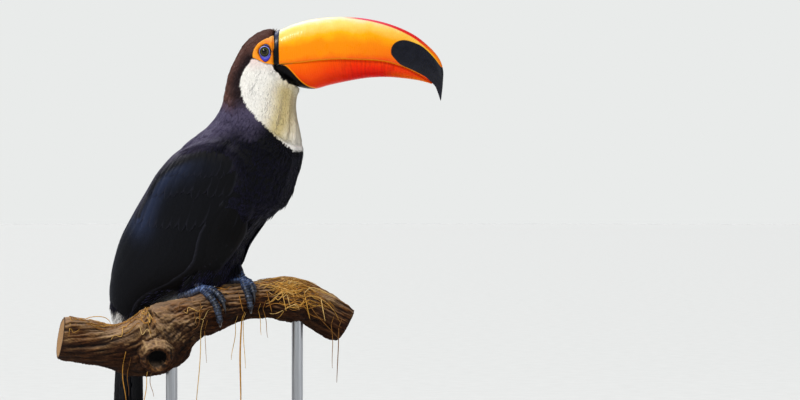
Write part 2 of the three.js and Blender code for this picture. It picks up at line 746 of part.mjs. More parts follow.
const eyes = Object.entries(SIDES).map(([name, side]) => {
  const middle = birdPoint(EYE_AT[0], side * EYE_AT[1], EYE_AT[2], 1);
  const ball = (radius) => ballAt(middle, radius, EYE_SIDES, EYE_RINGS);
  add(`eye_${name}`, ball(EYE_RADIUS), EYE_DARK, WET);
  return solid(ball(EYE_RADIUS + EYE_SEAT));
});

const billCut = billHalf(BILL_UPPER, true, BILL_SEAT, BILL_CUT_WIDER).add(
  billHalf(BILL_LOWER, false, BILL_SEAT, BILL_CUT_WIDER),
);
const head = bodyLength(0, HEAD_END).subtract(billCut).subtract(eyes[0]).subtract(eyes[1]);
add('head', geometryOf(head), BROWN_FEATHER);
add('bill_upper', geometryOf(billHalf(BILL_UPPER, true)), BILL_ORANGE, HORNY);
add('bill_lower', geometryOf(billHalf(BILL_LOWER, false)), BILL_RED, HORNY);
add('neck', geometryOf(bodyLength(HEAD_END + RIB_GAP, NECK_END)), WHITE_FEATHER);

const tail = tailSolid();
const tailGrown = tailSolid(GAP);
let trunk = bodyLength(NECK_END + RIB_GAP, TRUNK_END).subtract(tailGrown).subtract(perchGrown);
Object.entries(SIDES).forEach(([name, side]) => {
  const foot = FEET[name];
  const footGrown = footSolid(foot, GAP);
  const wingGrown = wingSlab(side, GAP, WING_PROUD + GAP, WING_DEEP);
  const wing = wingSlab(side, 0, WING_PROUD, WING_DEEP - GAP).subtract(tailGrown).subtract(footGrown);
  const leg = legSolid(foot, side).subtract(wingGrown);
  trunk = trunk.subtract(wingGrown).subtract(legSolid(foot, side, GAP)).subtract(footGrown);
  add(`wing_${name}`, geometryOf(wing), BLACK_FEATHER);
  add(`leg_${name}`, geometryOf(leg), BLACK_FEATHER);
  add(`foot_${name}`, geometryOf(footSolid(foot).subtract(perchGrown)), FOOT_BLUE, LEATHERY);
  foot.toes.forEach((stations, index) => {
    const claw = clawSolid(foot, stations).subtract(footGrown).subtract(perchGrown);
    add(`claw_${name}_${index + 1}`, geometryOf(claw), CLAW_BLACK, HORNY);
  });
});
add('trunk', geometryOf(trunk), BLACK_FEATHER);
add('tail', geometryOf(tail), BLACK_FEATHER);

add('stand_base', baseGeometry(), BASE_WALNUT, OILED);
ROD_AT_X.forEach((x, index) => {
  add(`stand_rod_${index + 1}`, geometryOf(rodSolid(x, perchGrown)), ROD_STEEL, SATIN, 1);
});

export default group;
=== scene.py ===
# %% [markdown]
# # A toco toucan, life size, gripping a cut length of branch
#
# A museum toucan is made in layers. The solids that carry it and give its size were made first, in
# a CAD program, and come in here as the frame. Over them this lesson lays what an eye looks for:
# one skin, the feathers on it, horn, wet eyes, scaly feet, bark and loose fibre.
#
# Every table of sizes below is in millimetres, because that is how a maker measures a bird. The
# last step before Blender gets a mesh turns them into metres.

# %% Load the frame
import math

import bmesh
import bpy
import numpy as np
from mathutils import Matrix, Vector, noise
from mathutils.bvhtree import BVHTree
from mathutils.kdtree import KDTree


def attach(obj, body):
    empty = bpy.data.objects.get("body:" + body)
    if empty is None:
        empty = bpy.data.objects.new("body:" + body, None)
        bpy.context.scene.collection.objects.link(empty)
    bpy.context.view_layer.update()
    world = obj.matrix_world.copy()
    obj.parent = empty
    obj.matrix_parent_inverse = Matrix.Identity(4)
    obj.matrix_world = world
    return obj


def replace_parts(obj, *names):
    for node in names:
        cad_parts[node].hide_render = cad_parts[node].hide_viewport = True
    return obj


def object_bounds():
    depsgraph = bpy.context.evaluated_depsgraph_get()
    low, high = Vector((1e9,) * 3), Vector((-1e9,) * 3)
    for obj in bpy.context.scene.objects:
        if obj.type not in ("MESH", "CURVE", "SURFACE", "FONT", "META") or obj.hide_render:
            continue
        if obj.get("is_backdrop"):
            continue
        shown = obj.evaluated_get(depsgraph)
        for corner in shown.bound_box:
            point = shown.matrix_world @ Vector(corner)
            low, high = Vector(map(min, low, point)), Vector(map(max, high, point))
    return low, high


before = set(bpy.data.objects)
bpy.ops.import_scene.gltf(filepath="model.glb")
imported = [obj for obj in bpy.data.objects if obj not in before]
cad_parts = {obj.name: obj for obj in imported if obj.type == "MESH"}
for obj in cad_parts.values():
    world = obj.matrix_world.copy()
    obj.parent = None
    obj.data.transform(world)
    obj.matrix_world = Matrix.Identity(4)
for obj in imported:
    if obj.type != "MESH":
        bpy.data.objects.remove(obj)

MM = 0.001
CAD_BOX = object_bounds()
print("nodes in the frame:", len(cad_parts))
print("box of the solids, m:", [round(value, 4) for corner in CAD_BOX for value in corner])

# %% [markdown]
# ## Small tools
#
# A handful of helpers carries the whole model. `through` draws a smooth line through a few
# stations, `unit` gives arrows the length 1, and `ease` fades one thing into another.
# `linear` turns a colour as a painter names it (sRGB, 0 to 255) into the linear values that a
# shader works with.

# %% Lines, arrows and colours
def through(stations, places):
    """Values of a smooth line through the stations, at places counted in stations."""
    stations = np.asarray(stations, float)
    places = np.asarray(places, float)
    last = len(stations) - 1
    ends = 2 * stations[0] - stations[1], 2 * stations[-1] - stations[-2]
    padded = np.vstack([ends[0], stations, ends[1]])
    left = np.clip(np.floor(places).astype(int), 0, last - 1)
    t = (places - left)[..., None]
    before, start, end, after = (padded[left + step] for step in range(4))
    return 0.5 * (
        2 * start
        + (end - before) * t
        + (2 * before - 5 * start + 4 * end - after) * t**2
        + (3 * start - before - 3 * end + after) * t**3
    )


def unit(arrows):
    """Arrows made one long."""
    return arrows / np.maximum(np.linalg.norm(arrows, axis=-1, keepdims=True), 1e-9)


def line_length(points):
    return float(np.linalg.norm(np.diff(points, axis=0), axis=1).sum())


def full_turn(count):
    """That many angles, spread evenly over a full turn."""
    return np.linspace(0, 2 * np.pi, count, endpoint=False)


def dot(first, second):
    """How far each arrow of one list runs along its partner in the other."""
    return np.einsum("ij,ij->i", first, second)


def ease(value, low, high):
    """0 below low, 1 above high, and a soft S between them."""
    share = np.clip((value - low) / (high - low), 0, 1)
    return share * share * (3 - 2 * share)


def hump(value, middle, wide):
    """1 at the middle, fading to nothing a little more than its width away."""
    return np.exp(-(((value - middle) / wide) ** 2))


def linear(red, green, blue):
    """A painter's colour, 0 to 255, as a shader's linear one."""
    share = np.array([red, green, blue]) / 255
    return np.where(share <= 0.04045, share / 12.92, ((share + 0.055) / 1.055) ** 2.4)


def with_alpha(colour):
    """A painter's colour (a tuple) or a linear one (an array), as the sockets want it."""
    colour = linear(*colour) if isinstance(colour, tuple) else colour
    return (*[float(value) for value in colour], 1.0)


def edge_distance(points, outline, closed=True):
    """Distance of flat points from an outline, less than 0 inside a closed one."""
    outline = np.asarray(outline, float)
    starts = outline if closed else outline[:-1]
    ends = np.roll(outline, -1, axis=0) if closed else outline[1:]
    nearest = np.full(len(points), np.inf)
    inside = np.zeros(len(points), bool)
    for start, end in zip(starts, ends):
        run = end - start
        share = np.clip(((points - start) @ run) / max(run @ run, 1e-9), 0, 1)
        nearest = np.minimum(nearest, np.linalg.norm(points - start - share[:, None] * run, axis=1))
        crosses = (start[1] > points[:, 1]) != (end[1] > points[:, 1])
        with np.errstate(divide="ignore", invalid="ignore"):
            meets = start[0] + (points[:, 1] - start[1]) * run[0] / run[1]
        inside ^= crosses & (points[:, 0] < meets)
    return np.where(inside & closed, -nearest, nearest)


def rounded(outline, steps=8):
    """A closed outline with its corners drawn round."""
    outline = np.asarray(outline, float)
    round_trip = np.vstack([outline[-2:], outline, outline[:3]])
    return through(round_trip, 2 + np.arange(len(outline) * steps) / steps)


def search_tree(points):
    """A tree that finds the nearest of many points quickly."""
    tree = KDTree(len(points))
    for index, point in enumerate(points):
        tree.insert(point, index)
    tree.balance()
    return tree


print("a line half way through three stations:", through([[0, 0], [4, 1], [6, 6]], [1.0, 1.5]))

# %% [markdown]
# ## Grids of points, and pieces made of them
#
# Most pieces here are a grid of points wrapped round something: the bill, a toe, a feather, the
# branch. `grid_faces` joins such a grid into four-sided faces and can close its two ends.
# `make_piece` turns a mesh into a Blender object that stays at the origin, with its place in its
# mesh, and tells the frame which body carries it.

# %% Meshes and pieces
def grid_faces(rows, columns, wrap=False, flip=False, capped=False):
    """Faces of a grid; wrap joins its last column to its first, and capped closes its ends."""
    across = np.arange(columns if wrap else columns - 1)
    row, column = np.meshgrid(np.arange(rows - 1), across, indexing="ij")
    a = row * columns + column
    b = row * columns + (column + 1) % columns
    faces = np.stack([a, b, b + columns, a + columns], -1).reshape(-1, 4).tolist()
    if capped:
        faces += [list(range(columns))[::-1], list(range((rows - 1) * columns, rows * columns))]
    return [face[::-1] for face in faces] if flip else faces


def set_attribute(mesh, label, values):
    """Stores one, three or four numbers at each point of a mesh."""
    values = np.asarray(values, np.float32)
    kinds = {1: ("FLOAT", "value"), 3: ("FLOAT_VECTOR", "vector"), 4: ("FLOAT_COLOR", "color")}
    kind, field = kinds[1 if values.ndim == 1 else values.shape[1]]
    mesh.attributes.new(label, kind, "POINT").data.foreach_set(field, values.ravel())


def opaque(colours):
    """Linear colours of many points, each with full alpha."""
    return np.hstack([colours, np.ones((len(colours), 1))])


def plain_mesh(name, points, faces, marks=None, patches=None):
    """A smooth-shaded mesh from points in millimetres, with its attributes and its OFBake map."""
    mesh = bpy.data.meshes.new(name)
    mesh.from_pydata((np.asarray(points) * MM).tolist(), [], faces)
    for label, values in (marks or {}).items():
        set_attribute(mesh, label, values)
    if patches is not None:
        corners = np.zeros(len(mesh.loops), int)
        mesh.loops.foreach_get("vertex_index", corners)
        at_corners = np.asarray(patches, np.float32)[corners]
        mesh.uv_layers.new(name="OFBake").data.foreach_set("uv", at_corners.ravel())
    mesh.polygons.foreach_set("use_smooth", [True] * len(mesh.polygons))
    mesh.update()
    return mesh


def outward(mesh):
    """Turns every face of a closed mesh outwards."""
    work = bmesh.new()
    work.from_mesh(mesh)
    bmesh.ops.recalc_face_normals(work, faces=work.faces)
    work.to_mesh(mesh)
    work.free()
    return mesh


def into_scene(name, data):
    """A new object of the scene that holds a mesh, a lamp or a camera."""
    made = bpy.data.objects.new(name, data)
    bpy.context.scene.collection.objects.link(made)
    return made


def make_piece(name, mesh, finish, slot):
    """Puts a mesh into the scene as a finished piece of the model."""
    piece = into_scene(name, mesh)
    if finish is not None:
        mesh.materials.clear()
        mesh.materials.append(finish)
    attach(piece, "root")
    print(f"{name}: {sum(len(face.vertices) - 2 for face in mesh.polygons)} triangles")
    return piece


def closed_piece(name, points, faces, marks, finish, slot):
    """A piece whose mesh is closed, with its faces turned outwards."""
    return make_piece(name, outward(plain_mesh(name, points, faces, marks)), finish, slot)


def joined(parts):
    """One list of points and one of faces from several parts that start with points and faces."""
    points, faces, start = [], [], 0
    for part in parts:
        points.append(np.asarray(part[0]).reshape(-1, 3))
        faces += [[corner + start for corner in face] for face in part[1]]
        start += len(points[-1])
    return np.vstack(points), faces


def gathered_marks(parts):
    """The marks of several parts, each part's third item, end to end."""
    return {label: np.concatenate([part[2][label] for part in parts]) for label in parts[0][2]}


# %% [markdown]
# ## Finishes from nodes
#
# A finish is a Principled shader with a few nodes in front of it. `Reading` wraps the output of a
# node, so that outputs can be added and multiplied like numbers, and `Finish` keeps the wiring
# short: `noise` and `ramp` are what nearly every natural surface needs, `mix` lays one colour over
# another, and `bump` feeds a height into the shader's normal.

# %% The finish helper
def add_node(tree, kind, inputs=None, **settings):
    """A new node, with each input set to a value or joined to another node's output."""
    made = tree.nodes.new(kind)
    for key, value in settings.items():
        setattr(made, key, value)
    for key, value in (inputs or {}).items():
        value = getattr(value, "socket", value)
        if isinstance(value, bpy.types.NodeSocket):
            tree.links.new(value, made.inputs[key])
        else:
            made.inputs[key].default_value = value
    return made


class Reading:
    """The output of a node, to reckon with."""

    def __init__(self, tree, socket):
        self.tree = tree
        self.socket = socket

    def maths(self, operation, other=0.0):
        made = add_node(self.tree, "ShaderNodeMath", {0: self, 1: other}, operation=operation)
        return Reading(self.tree, made.outputs[0])

    def __add__(self, other):
        return self.maths("ADD", other)

    def __sub__(self, other):
        return self.maths("SUBTRACT", other)

    def __mul__(self, other):
        return self.maths("MULTIPLY", other)

    def parts(self):
        """The X, Y and Z of an arrow."""
        made = add_node(self.tree, "ShaderNodeSeparateXYZ", {0: self})
        return [Reading(self.tree, socket) for socket in made.outputs]

    def waves(self):
        """The sine of this, moved to run from 0 to 1."""
        return self.maths("SINE").stretch(-1, 1)

    def stretch(self, low, high, to_low=0.0, to_high=1.0):
        """This moved from one range to another, and held inside it."""
        inputs = {"Value": self, "From Min": low, "From Max": high, "To Min": to_low, "To Max": to_high}
        return Reading(self.tree, add_node(self.tree, "ShaderNodeMapRange", inputs).outputs[0])

    def ramp(self, *stops):
        """A colour that runs through stops, each a place from 0 to 1 and a colour."""
        made = add_node(self.tree, "ShaderNodeValToRGB", {"Fac": self})
        elements = made.color_ramp.elements
        while len(elements) < len(stops):
            elements.new(1.0)
        for element, (at, colour) in zip(elements, stops):
            element.position = at
            element.color = with_alpha(colour)
        return Reading(self.tree, made.outputs["Color"])


class Wiring:
    """A node tree that is built one node at a time."""

    def __init__(self, tree):
        self.tree = tree

    def node(self, kind, inputs=None, output=0, **settings):
        return Reading(self.tree, add_node(self.tree, kind, inputs, **settings).outputs[output])


class Finish(Wiring):
    """A material with its shader."""

    def __init__(self, name, **sockets):
        self.material = bpy.data.materials.new(name)
        self.material.use_nodes = True
        super().__init__(self.material.node_tree)
        self.shader = self.tree.nodes["Principled BSDF"]
        for label, value in sockets.items():
            self.shader.inputs[label.replace("_", " ")].default_value = value

    def attribute(self, label, output="Fac"):
        return self.node("ShaderNodeAttribute", output=output, attribute_name=label)

    def noise(self, scale, detail=4.0, rough=0.55, drawn=(1, 1, 1), turned=(0, 0, 0), at=None):
        """Noise on Object coordinates, drawn finer along some axes, or at another place."""
        if at is None:
            where = self.node("ShaderNodeTexCoord", output="Object")
            at = self.node("ShaderNodeMapping", {"Vector": where, "Scale": drawn, "Rotation": turned})
        inputs = {"Vector": at, "Scale": scale, "Detail": detail, "Roughness": rough}
        return self.node("ShaderNodeTexNoise", inputs, output="Fac")

    def mix(self, share, first, second, blend="MIX"):
        """The first colour where the share is 0, the second where it is 1."""
        tones = [tone if isinstance(tone, Reading) else with_alpha(tone) for tone in (first, second)]
        inputs = {0: share, 6: tones[0], 7: tones[1]}
        return self.node("ShaderNodeMix", inputs, output=2, data_type="RGBA", blend_type=blend)

    def stained(self, tone, stain):
        """A colour multiplied by another."""
        return self.mix(1.0, tone, stain, "MULTIPLY")

    def grey(self, value):
        return self.node("ShaderNodeCombineColor", {0: value, 1: value, 2: value})

    def bump(self, height, millimetres):
        """Adds a height, 0 to 1, as bumps that are that many millimetres high."""
        inputs = {"Height": height, "Distance": millimetres * MM}
        socket = self.shader.inputs["Normal"]
        if socket.is_linked:
            inputs["Normal"] = socket.links[0].from_socket
        self.wire("Normal", self.node("ShaderNodeBump", inputs, output="Normal"))

    def wire(self, label, reading):
        self.tree.links.new(reading.socket, self.shader.inputs[label])


print("finish helper ready")

# %% [markdown]
# ## Camera, floor and light
#
# A long lens from three metres away keeps the bird's proportions true. The floor is one large pale
# disc. A black bird needs light that skims it: a soft key light from high on the front left gives
# the bill its gloss and the eye its spark, a wider one from behind draws the outline of back and
# crown, and a weak soft box on the right keeps the breast from closing up.

# %% Camera
camera = into_scene("camera", bpy.data.cameras.new("camera"))
camera.location = (0.1764, -3.0, 0.2756)
camera.rotation_euler = (math.radians(90), 0, 0)
camera.data.sensor_width = 36
camera.data.lens = 128.6
bpy.context.scene.camera = camera

# %% Floor
FLOOR_RADIUS = 30000
FLOOR_SIDES = 96
around = full_turn(FLOOR_SIDES)
floor_rim = np.stack([np.cos(around), np.sin(around), 0 * around], -1) * FLOOR_RADIUS
pale = Finish("pale_floor", Roughness=0.85)
pale.wire("Base Color", pale.noise(40, 3).ramp((0.3, (206, 206, 204)), (0.7, (211, 211, 209))))
floor = into_scene("floor", plain_mesh("floor", floor_rim, [range(FLOOR_SIDES)]))
floor.data.materials.append(pale.material)
floor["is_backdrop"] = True

# %% The room
world = bpy.data.worlds.new("studio")
world.use_nodes = True
bpy.context.scene.world = world
bpy.context.scene.view_settings.view_transform = "Standard"
room = world.node_tree
room_seen = add_node(room, "ShaderNodeBackground", {"Color": with_alpha((233, 235, 234))})
room_lit = room.nodes["Background"]
room_lit.inputs["Color"].default_value = with_alpha((206, 214, 222))
room_lit.inputs["Strength"].default_value = 0.45
is_seen = add_node(room, "ShaderNodeLightPath").outputs["Is Camera Ray"]
rooms = {"Fac": is_seen, 1: room_lit.outputs[0], 2: room_seen.outputs[0]}
room_mix = add_node(room, "ShaderNodeMixShader", rooms)
room.links.new(room_mix.outputs[0], room.nodes["World Output"].inputs["Surface"])

# %% Lights
MIDDLE = Vector((0.02, 0.0, 0.28))
FILL_AT = Vector((1.9, -1.3, 0.8))


def light(name, kind, strength, way, colour=(1, 1, 1), **settings):
    """A lamp that shines one way and isn't seen itself."""
    lamp = bpy.data.lights.new(name, kind)
    lamp.energy = strength
    lamp.color = colour
    for key, value in settings.items():
        setattr(lamp, key, value)
    holder = into_scene(name, lamp)
    holder.rotation_euler = Vector(way).to_track_quat("-Z", "Y").to_euler()
    holder.visible_camera = False
    return holder


light("key_light", "SUN", 2.3, (0.55, 0.75, -0.95), (1.0, 0.985, 0.96), angle=math.radians(14))
light("back_light", "SUN", 2.0, (0.42, -0.6, -0.8), angle=math.radians(40))
fill_light = light("fill_light", "AREA", 6, MIDDLE - FILL_AT, (0.94, 0.97, 1.0), size=1.2)
fill_light.location = FILL_AT


# %% [markdown]
# ## A chart of the bird
#
# Feathers, markings and the lie of the coat all follow the body, so they are placed by a chart of
# it: `place` runs from the bill's base (0) to the tips of the tail coverts (17), counted in ribs,
# and `angle` runs round each rib from the middle of the back (0), with the bird's left side
# positive, to the middle of the breast (pi). The chart is the same smooth form that the solids
# were cut from. A point at u, l, w is ahead, to the left of and above the bird's own middle.

# %% The ribs and the bird's own directions
BODY_X = -9.5
NECK_U = 43
BODY_YAW = -25
HEAD_YAW = -4
BODY_ROUND = 0.9
RIBS = [  # back u, w; front u, w; half width; share of the head's turn
    (63, 452, 87, 392, 22, 1),  # bill base
    (54.5, 455, 85, 386.5, 24, 1),  # forehead
    (41.5, 451.5, 83.5, 381.5, 26, 1),  # crown
    (28, 441, 83, 375, 27.5, 0.95),  # back of the crown
    (18.5, 426, 83.5, 366.5, 29, 0.85),  # back of the head
    (10.5, 409, 85.5, 357, 31, 0.7),  # nape
    (6.5, 392.5, 88, 346.5, 34, 0.45),  # neck
    (1, 373, 90, 336, 39, 0.2),  # collar
    (-13.5, 355, 90, 326, 43, 0),  # shoulder
    (-35, 340.5, 84, 304, 46, 0),  # upper breast
    (-54, 324, 73, 275.5, 47, 0),  # breast
    (-71, 306, 50.5, 256.5, 46, 0),  # middle
    (-84, 286, 27, 229, 43, 0),  # belly
    (-101, 261, 12, 198, 39, 0),  # lower belly
    (-118, 232, -24, 183, 33, 0),  # vent
    (-128.5, 196, -68, 168, 27, 0),  # under the tail
    (-129.5, 163, -92, 142, 23, 0),  # tail coverts
    (-122.5, 124, -108, 112, 16, 0),  # their tips
]
LAST_RIB = len(RIBS) - 1


SIDES = ("right", -1), ("left", 1)


def bird_point(u, l, w, turn=0.0):
    """Points given along the bird's own directions, as points of the frame."""
    body = math.radians(BODY_YAW)
    yaw = np.radians(BODY_YAW + (HEAD_YAW - BODY_YAW) * np.asarray(turn, float))
    ahead = np.asarray(u, float) - NECK_U
    x = BODY_X + NECK_U * math.cos(body) + ahead * np.cos(yaw) - l * np.sin(yaw)
    y = NECK_U * math.sin(body) + ahead * np.sin(yaw) + l * np.cos(yaw)
    return np.stack(np.broadcast_arrays(x, y, np.asarray(w, float)), -1)


def bird_sides(points, turn):
    """The u, l and w of points of the frame."""
    body = math.radians(BODY_YAW)
    yaw = np.radians(BODY_YAW + (HEAD_YAW - BODY_YAW) * turn)
    x = points[:, 0] - BODY_X - NECK_U * math.cos(body)
    y = points[:, 1] - NECK_U * math.sin(body)
    u = NECK_U + x * np.cos(yaw) + y * np.sin(yaw)
    return u, y * np.cos(yaw) - x * np.sin(yaw), points[:, 2]


def filled_out(value):
    return np.sign(value) * np.abs(value) ** BODY_ROUND


def body_chart(place, angle):
    """Points of the body's surface."""
    rib = through(RIBS, place)
    to_back = filled_out(np.cos(angle))
    to_left = filled_out(np.sin(angle)) * rib[..., 4]
    u = (rib[..., 0] + rib[..., 2]) / 2 + (rib[..., 0] - rib[..., 2]) / 2 * to_back
    w = (rib[..., 1] + rib[..., 3]) / 2 + (rib[..., 1] - rib[..., 3]) / 2 * to_back
    return bird_point(u, to_left, w, rib[..., 5])


def chart_frame(chart, first, second, step=1e-3):
    """A chart's points, its two run directions (mm for each step of 1), and outward normals."""
    here = chart(first, second)
    along = (chart(first + step, second) - chart(first - step, second)) / (2 * step)
    across = (chart(first, second + step) - chart(first, second - step)) / (2 * step)
    return here, along, across, unit(np.cross(across, along))


# %% Look-up from a point back to the chart
LOOK_PLACES, LOOK_ANGLES = np.meshgrid(
    np.linspace(0, LAST_RIB, 256),
    np.linspace(-np.pi, np.pi, 144, endpoint=False),
    indexing="ij",
)
look_points, look_along, _, look_normals = chart_frame(body_chart, LOOK_PLACES, LOOK_ANGLES)
LOOK = {
    "place": LOOK_PLACES.ravel(),
    "angle": LOOK_ANGLES.ravel(),
    "point": look_points.reshape(-1, 3),
    "lie": unit(look_along.reshape(-1, 3)),
    "normal": look_normals.reshape(-1, 3),
}
look_tree = search_tree(LOOK["point"].tolist())

look_side = LOOK["angle"] < -1e-6
look_u, _, look_w = bird_sides(LOOK["point"], through(RIBS, LOOK["place"])[:, 5])
LOOK_FLAT = np.stack([look_u, look_w], -1)[look_side]
LOOK_SIDE = np.stack([LOOK["place"], LOOK["angle"]], -1)[look_side]


def on_side(u, w):
    """The place and angle, on the right side, of a point that is seen there at u, w."""
    nearest = np.argsort(np.linalg.norm(LOOK_FLAT - (u, w), axis=1))[:4]
    share = 1 / (np.linalg.norm(LOOK_FLAT[nearest] - (u, w), axis=1) + 1e-3)
    return (LOOK_SIDE[nearest] * share[:, None]).sum(0) / share.sum()


wing_middle = on_side(-40, 240)
print("the middle of the wing is at place %.2f, angle %.2f" % tuple(wing_middle))

# %% [markdown]
# ## Where the colours change
#
# The markings are outlines seen from the side, in u and w, and the same outlines serve both sides
# of the bird, the skin, and every feather that grows on it. The colour of a point is worked out
# once on the skin and each tuft takes the colour of its root.

# %% Outlines of the markings
BIB = [
    (60, 417), (44, 421), (38.8, 422), (34.4, 414.5), (29.8, 407.2), (28.2, 397.9), (30.9, 387.2),
    (37, 376.6), (44.6, 367.9), (53.6, 359.2), (62.9, 351.9), (71, 344.5), (79.1, 336.8), (84.5, 331.6),
    (89.2, 326.5), (94, 322.5), (112, 320), (112, 420),
]
FACE = [
    (39.7, 423.6), (39.6, 427.6), (41.2, 432.6), (44.3, 437), (49.6, 441), (55.3, 443.8), (59.4, 445.6),
    (60.3, 440), (60.3, 428), (60.8, 417.2), (57, 416.8), (51, 418.3), (46, 420.6), (41.6, 422.6),
]
MANTLE_EDGE = [
    (40, 342), (31.9, 336.9), (9.5, 327.5), (-14.2, 321), (-36.8, 312.4), (-51.4, 303.2), (-61.3, 293.5),
    (-66.8, 285.2), (-73.4, 271.9), (-80, 256),
]
RUFFLE_AT = 36
RUFFLE_WIDE = 8
CROWN_END = 380
CROWN_BLUR = 10

BLACK = linear(8, 8, 11)
WING_BLACK = linear(8, 9, 14)
WING_SHEEN_BLUE = linear(42, 52, 80)
BREAST_SHADE_BLACK = linear(6, 6, 8)
PAINTED_SHADOW_BLACK = linear(5, 5, 8)
CROWN_BROWN = linear(96, 62, 54)
CROWN_DARK = linear(36, 25, 28)
MANTLE_MAUVE = linear(76, 69, 92)
BIB_WHITE = linear(250, 246, 238)
BIB_ROSE = linear(238, 208, 204)
BIB_OCHRE_AND_SHADE = linear(192, 170, 94)
COVERT_WHITE = linear(250, 247, 242)
COVERT_RED = linear(170, 24, 20)


def blend(base, colour, share):
    return base + (colour - base) * np.asarray(share)[:, None]


def plumage(place, angle, u, w, large=False):
    """Colours of the coat at places of the chart; large feathers skip what only small ones show."""
    flat = np.stack([u, w], -1)
    to_bib = edge_distance(flat, BIB)
    round_from_back = np.abs(angle)
    colour = np.tile(BLACK, (len(u), 1))
    # painted shade: towards the breast and underside the black is made a little blacker than on the back
    colour = blend(colour, BREAST_SHADE_BLACK, ease(round_from_back, 1.7, 2.3))
    on_wing = ease(place, 9, 11) * (1 - ease(round_from_back, 1.9, 2.3))
    colour = blend(colour, WING_BLACK, on_wing)
    from_mantle = edge_distance(flat, MANTLE_EDGE, closed=False)
    edge_u, edge_w = np.transpose(MANTLE_EDGE)
    above = (w - np.interp(-u, -edge_u, edge_w)) > 0
    side_fade = 1 - ease(round_from_back, 1.5, 2.1)
    down_back = 1 - ease(place, 10.5, 14)
    mantle = ease(np.where(above, from_mantle, -from_mantle), -3, 22) * side_fade * down_back
    # painted sheen: a blue gloss on the wing just below the mantle's edge
    shoulder = hump(from_mantle, 0, 17) * ~above * side_fade * on_wing
    colour = blend(colour, WING_SHEEN_BLUE, 0.75 * shoulder)
    ruffle = hump(u, RUFFLE_AT, RUFFLE_WIDE) * ease(w, 286, 304)
    ruffle = ruffle * (1 - ease(w, 332, 350)) * 0.15 * (place > 7) * (not large)
    colour = blend(colour, MANTLE_MAUVE, np.maximum(mantle, ruffle))
    crown = ease(w + 0.25 * (u - 10), CROWN_END - CROWN_BLUR, CROWN_END + CROWN_BLUR)
    crown_tone = blend(np.tile(CROWN_DARK, (len(u), 1)), CROWN_BROWN, ease(to_bib, 3, 15))
    colour = blend(colour, crown_tone, crown)
    rosy = (1 - ease(424 - w, 0, 16)) * 0.8
    white = blend(np.tile(BIB_WHITE, (len(u), 1)), BIB_ROSE, rosy)
    # the throat's ochre is partly its own colour and partly painted shadow and reflection from the bill
    ochre_and_shade = hump(u, 74, 13) * ease(w, 328, 350) * (1 - ease(w, 388, 412))
    white = blend(white, BIB_OCHRE_AND_SHADE, ochre_and_shade * 0.85)
    in_bib = (to_bib < 0) & (place < 10)
    colour = np.where(in_bib[:, None], white, colour)
    # painted shadow: a dark line just below the mantle's edge, where the mantle overhangs the wing
    groove = hump(np.where(above, 9.0, from_mantle) / 4, 0.4, 1) * side_fade
    groove = groove * (1 - ease(place, 11.5, 13.5)) * (u < 36)
    colour = blend(colour, PAINTED_SHADOW_BLACK, groove * (to_bib > 2) * (place > 6))
    if large:
        return colour
    rump = ease(place, 15.55, 15.75) * (1 - ease(round_from_back, 2.0, 2.3))
    colour = blend(colour, COVERT_WHITE, rump)
    vent = ease(place, 15.42, 15.6) * ease(round_from_back, 2.35, 2.6)
    return blend(colour, COVERT_RED, vent)


print("bib outline has", len(BIB), "corners; black is", BLACK.round(4))

# %% [markdown]
# ## One skin under the whole coat
#
# The real bird has one skin. The solids of head, neck, trunk, wings and legs are swollen by half a
# millimetre so that they close up, joined, and wrapped by a voxel remesh, which leaves one surface
# with no seam. Smoothing takes the facets off, and the skin is then let down by the coat's depth,
# so that the tips of the feathers reach the outline of the solids.

# %% The skin's surface
FLESH = ["head", "neck", "trunk", "wing_right", "wing_left", "leg_right", "leg_left"]
SWELL = 0.5
VOXEL = 1.9
SMOOTHING = 9
COAT_DEPTH = [(0, 1.0), (3, 1.3), (7, 1.9), (10, 2.4), (15, 2.4), (17, 1.2)]


def flesh_mesh():
    """The swollen solids in one mesh."""
    whole = bmesh.new()
    for name in FLESH:
        part = bmesh.new()
        part.from_mesh(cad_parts[name].data)
        bmesh.ops.remove_doubles(part, verts=part.verts, dist=0.01 * MM)
        part.normal_update()
        for vertex in part.verts:
            vertex.co += vertex.normal * SWELL * MM
        swollen = bpy.data.meshes.new("swollen")
        part.to_mesh(swollen)
        whole.from_mesh(swollen)
        part.free()
        bpy.data.meshes.remove(swollen)
    mesh = bpy.data.meshes.new("flesh")
    whole.to_mesh(mesh)
    whole.free()
    return mesh


def evaluated(holder):
    """The plain mesh that an object's modifiers make."""
    graph = bpy.context.evaluated_depsgraph_get()
    return bpy.data.meshes.new_from_object(holder.evaluated_get(graph))


def wrapped_skin():
    holder = into_scene("wrap", flesh_mesh())
    wrap = holder.modifiers.new("wrap", "REMESH")
    wrap.mode = "VOXEL"
    wrap.voxel_size = VOXEL * MM
    smooth = holder.modifiers.new("smooth", "SMOOTH")
    smooth.iterations = SMOOTHING
    smooth.factor = 0.5
    mesh = evaluated(holder)
    bpy.data.objects.remove(holder)
    return mesh


def mesh_arrays(mesh):
    """A mesh's points and normals, in millimetres."""
    points = np.zeros(len(mesh.vertices) * 3)
    mesh.vertices.foreach_get("co", points)
    normals = np.zeros(len(mesh.vertices) * 3)
    mesh.vertex_normals.foreach_get("vector", normals)
    return points.reshape(-1, 3) / MM, normals.reshape(-1, 3)


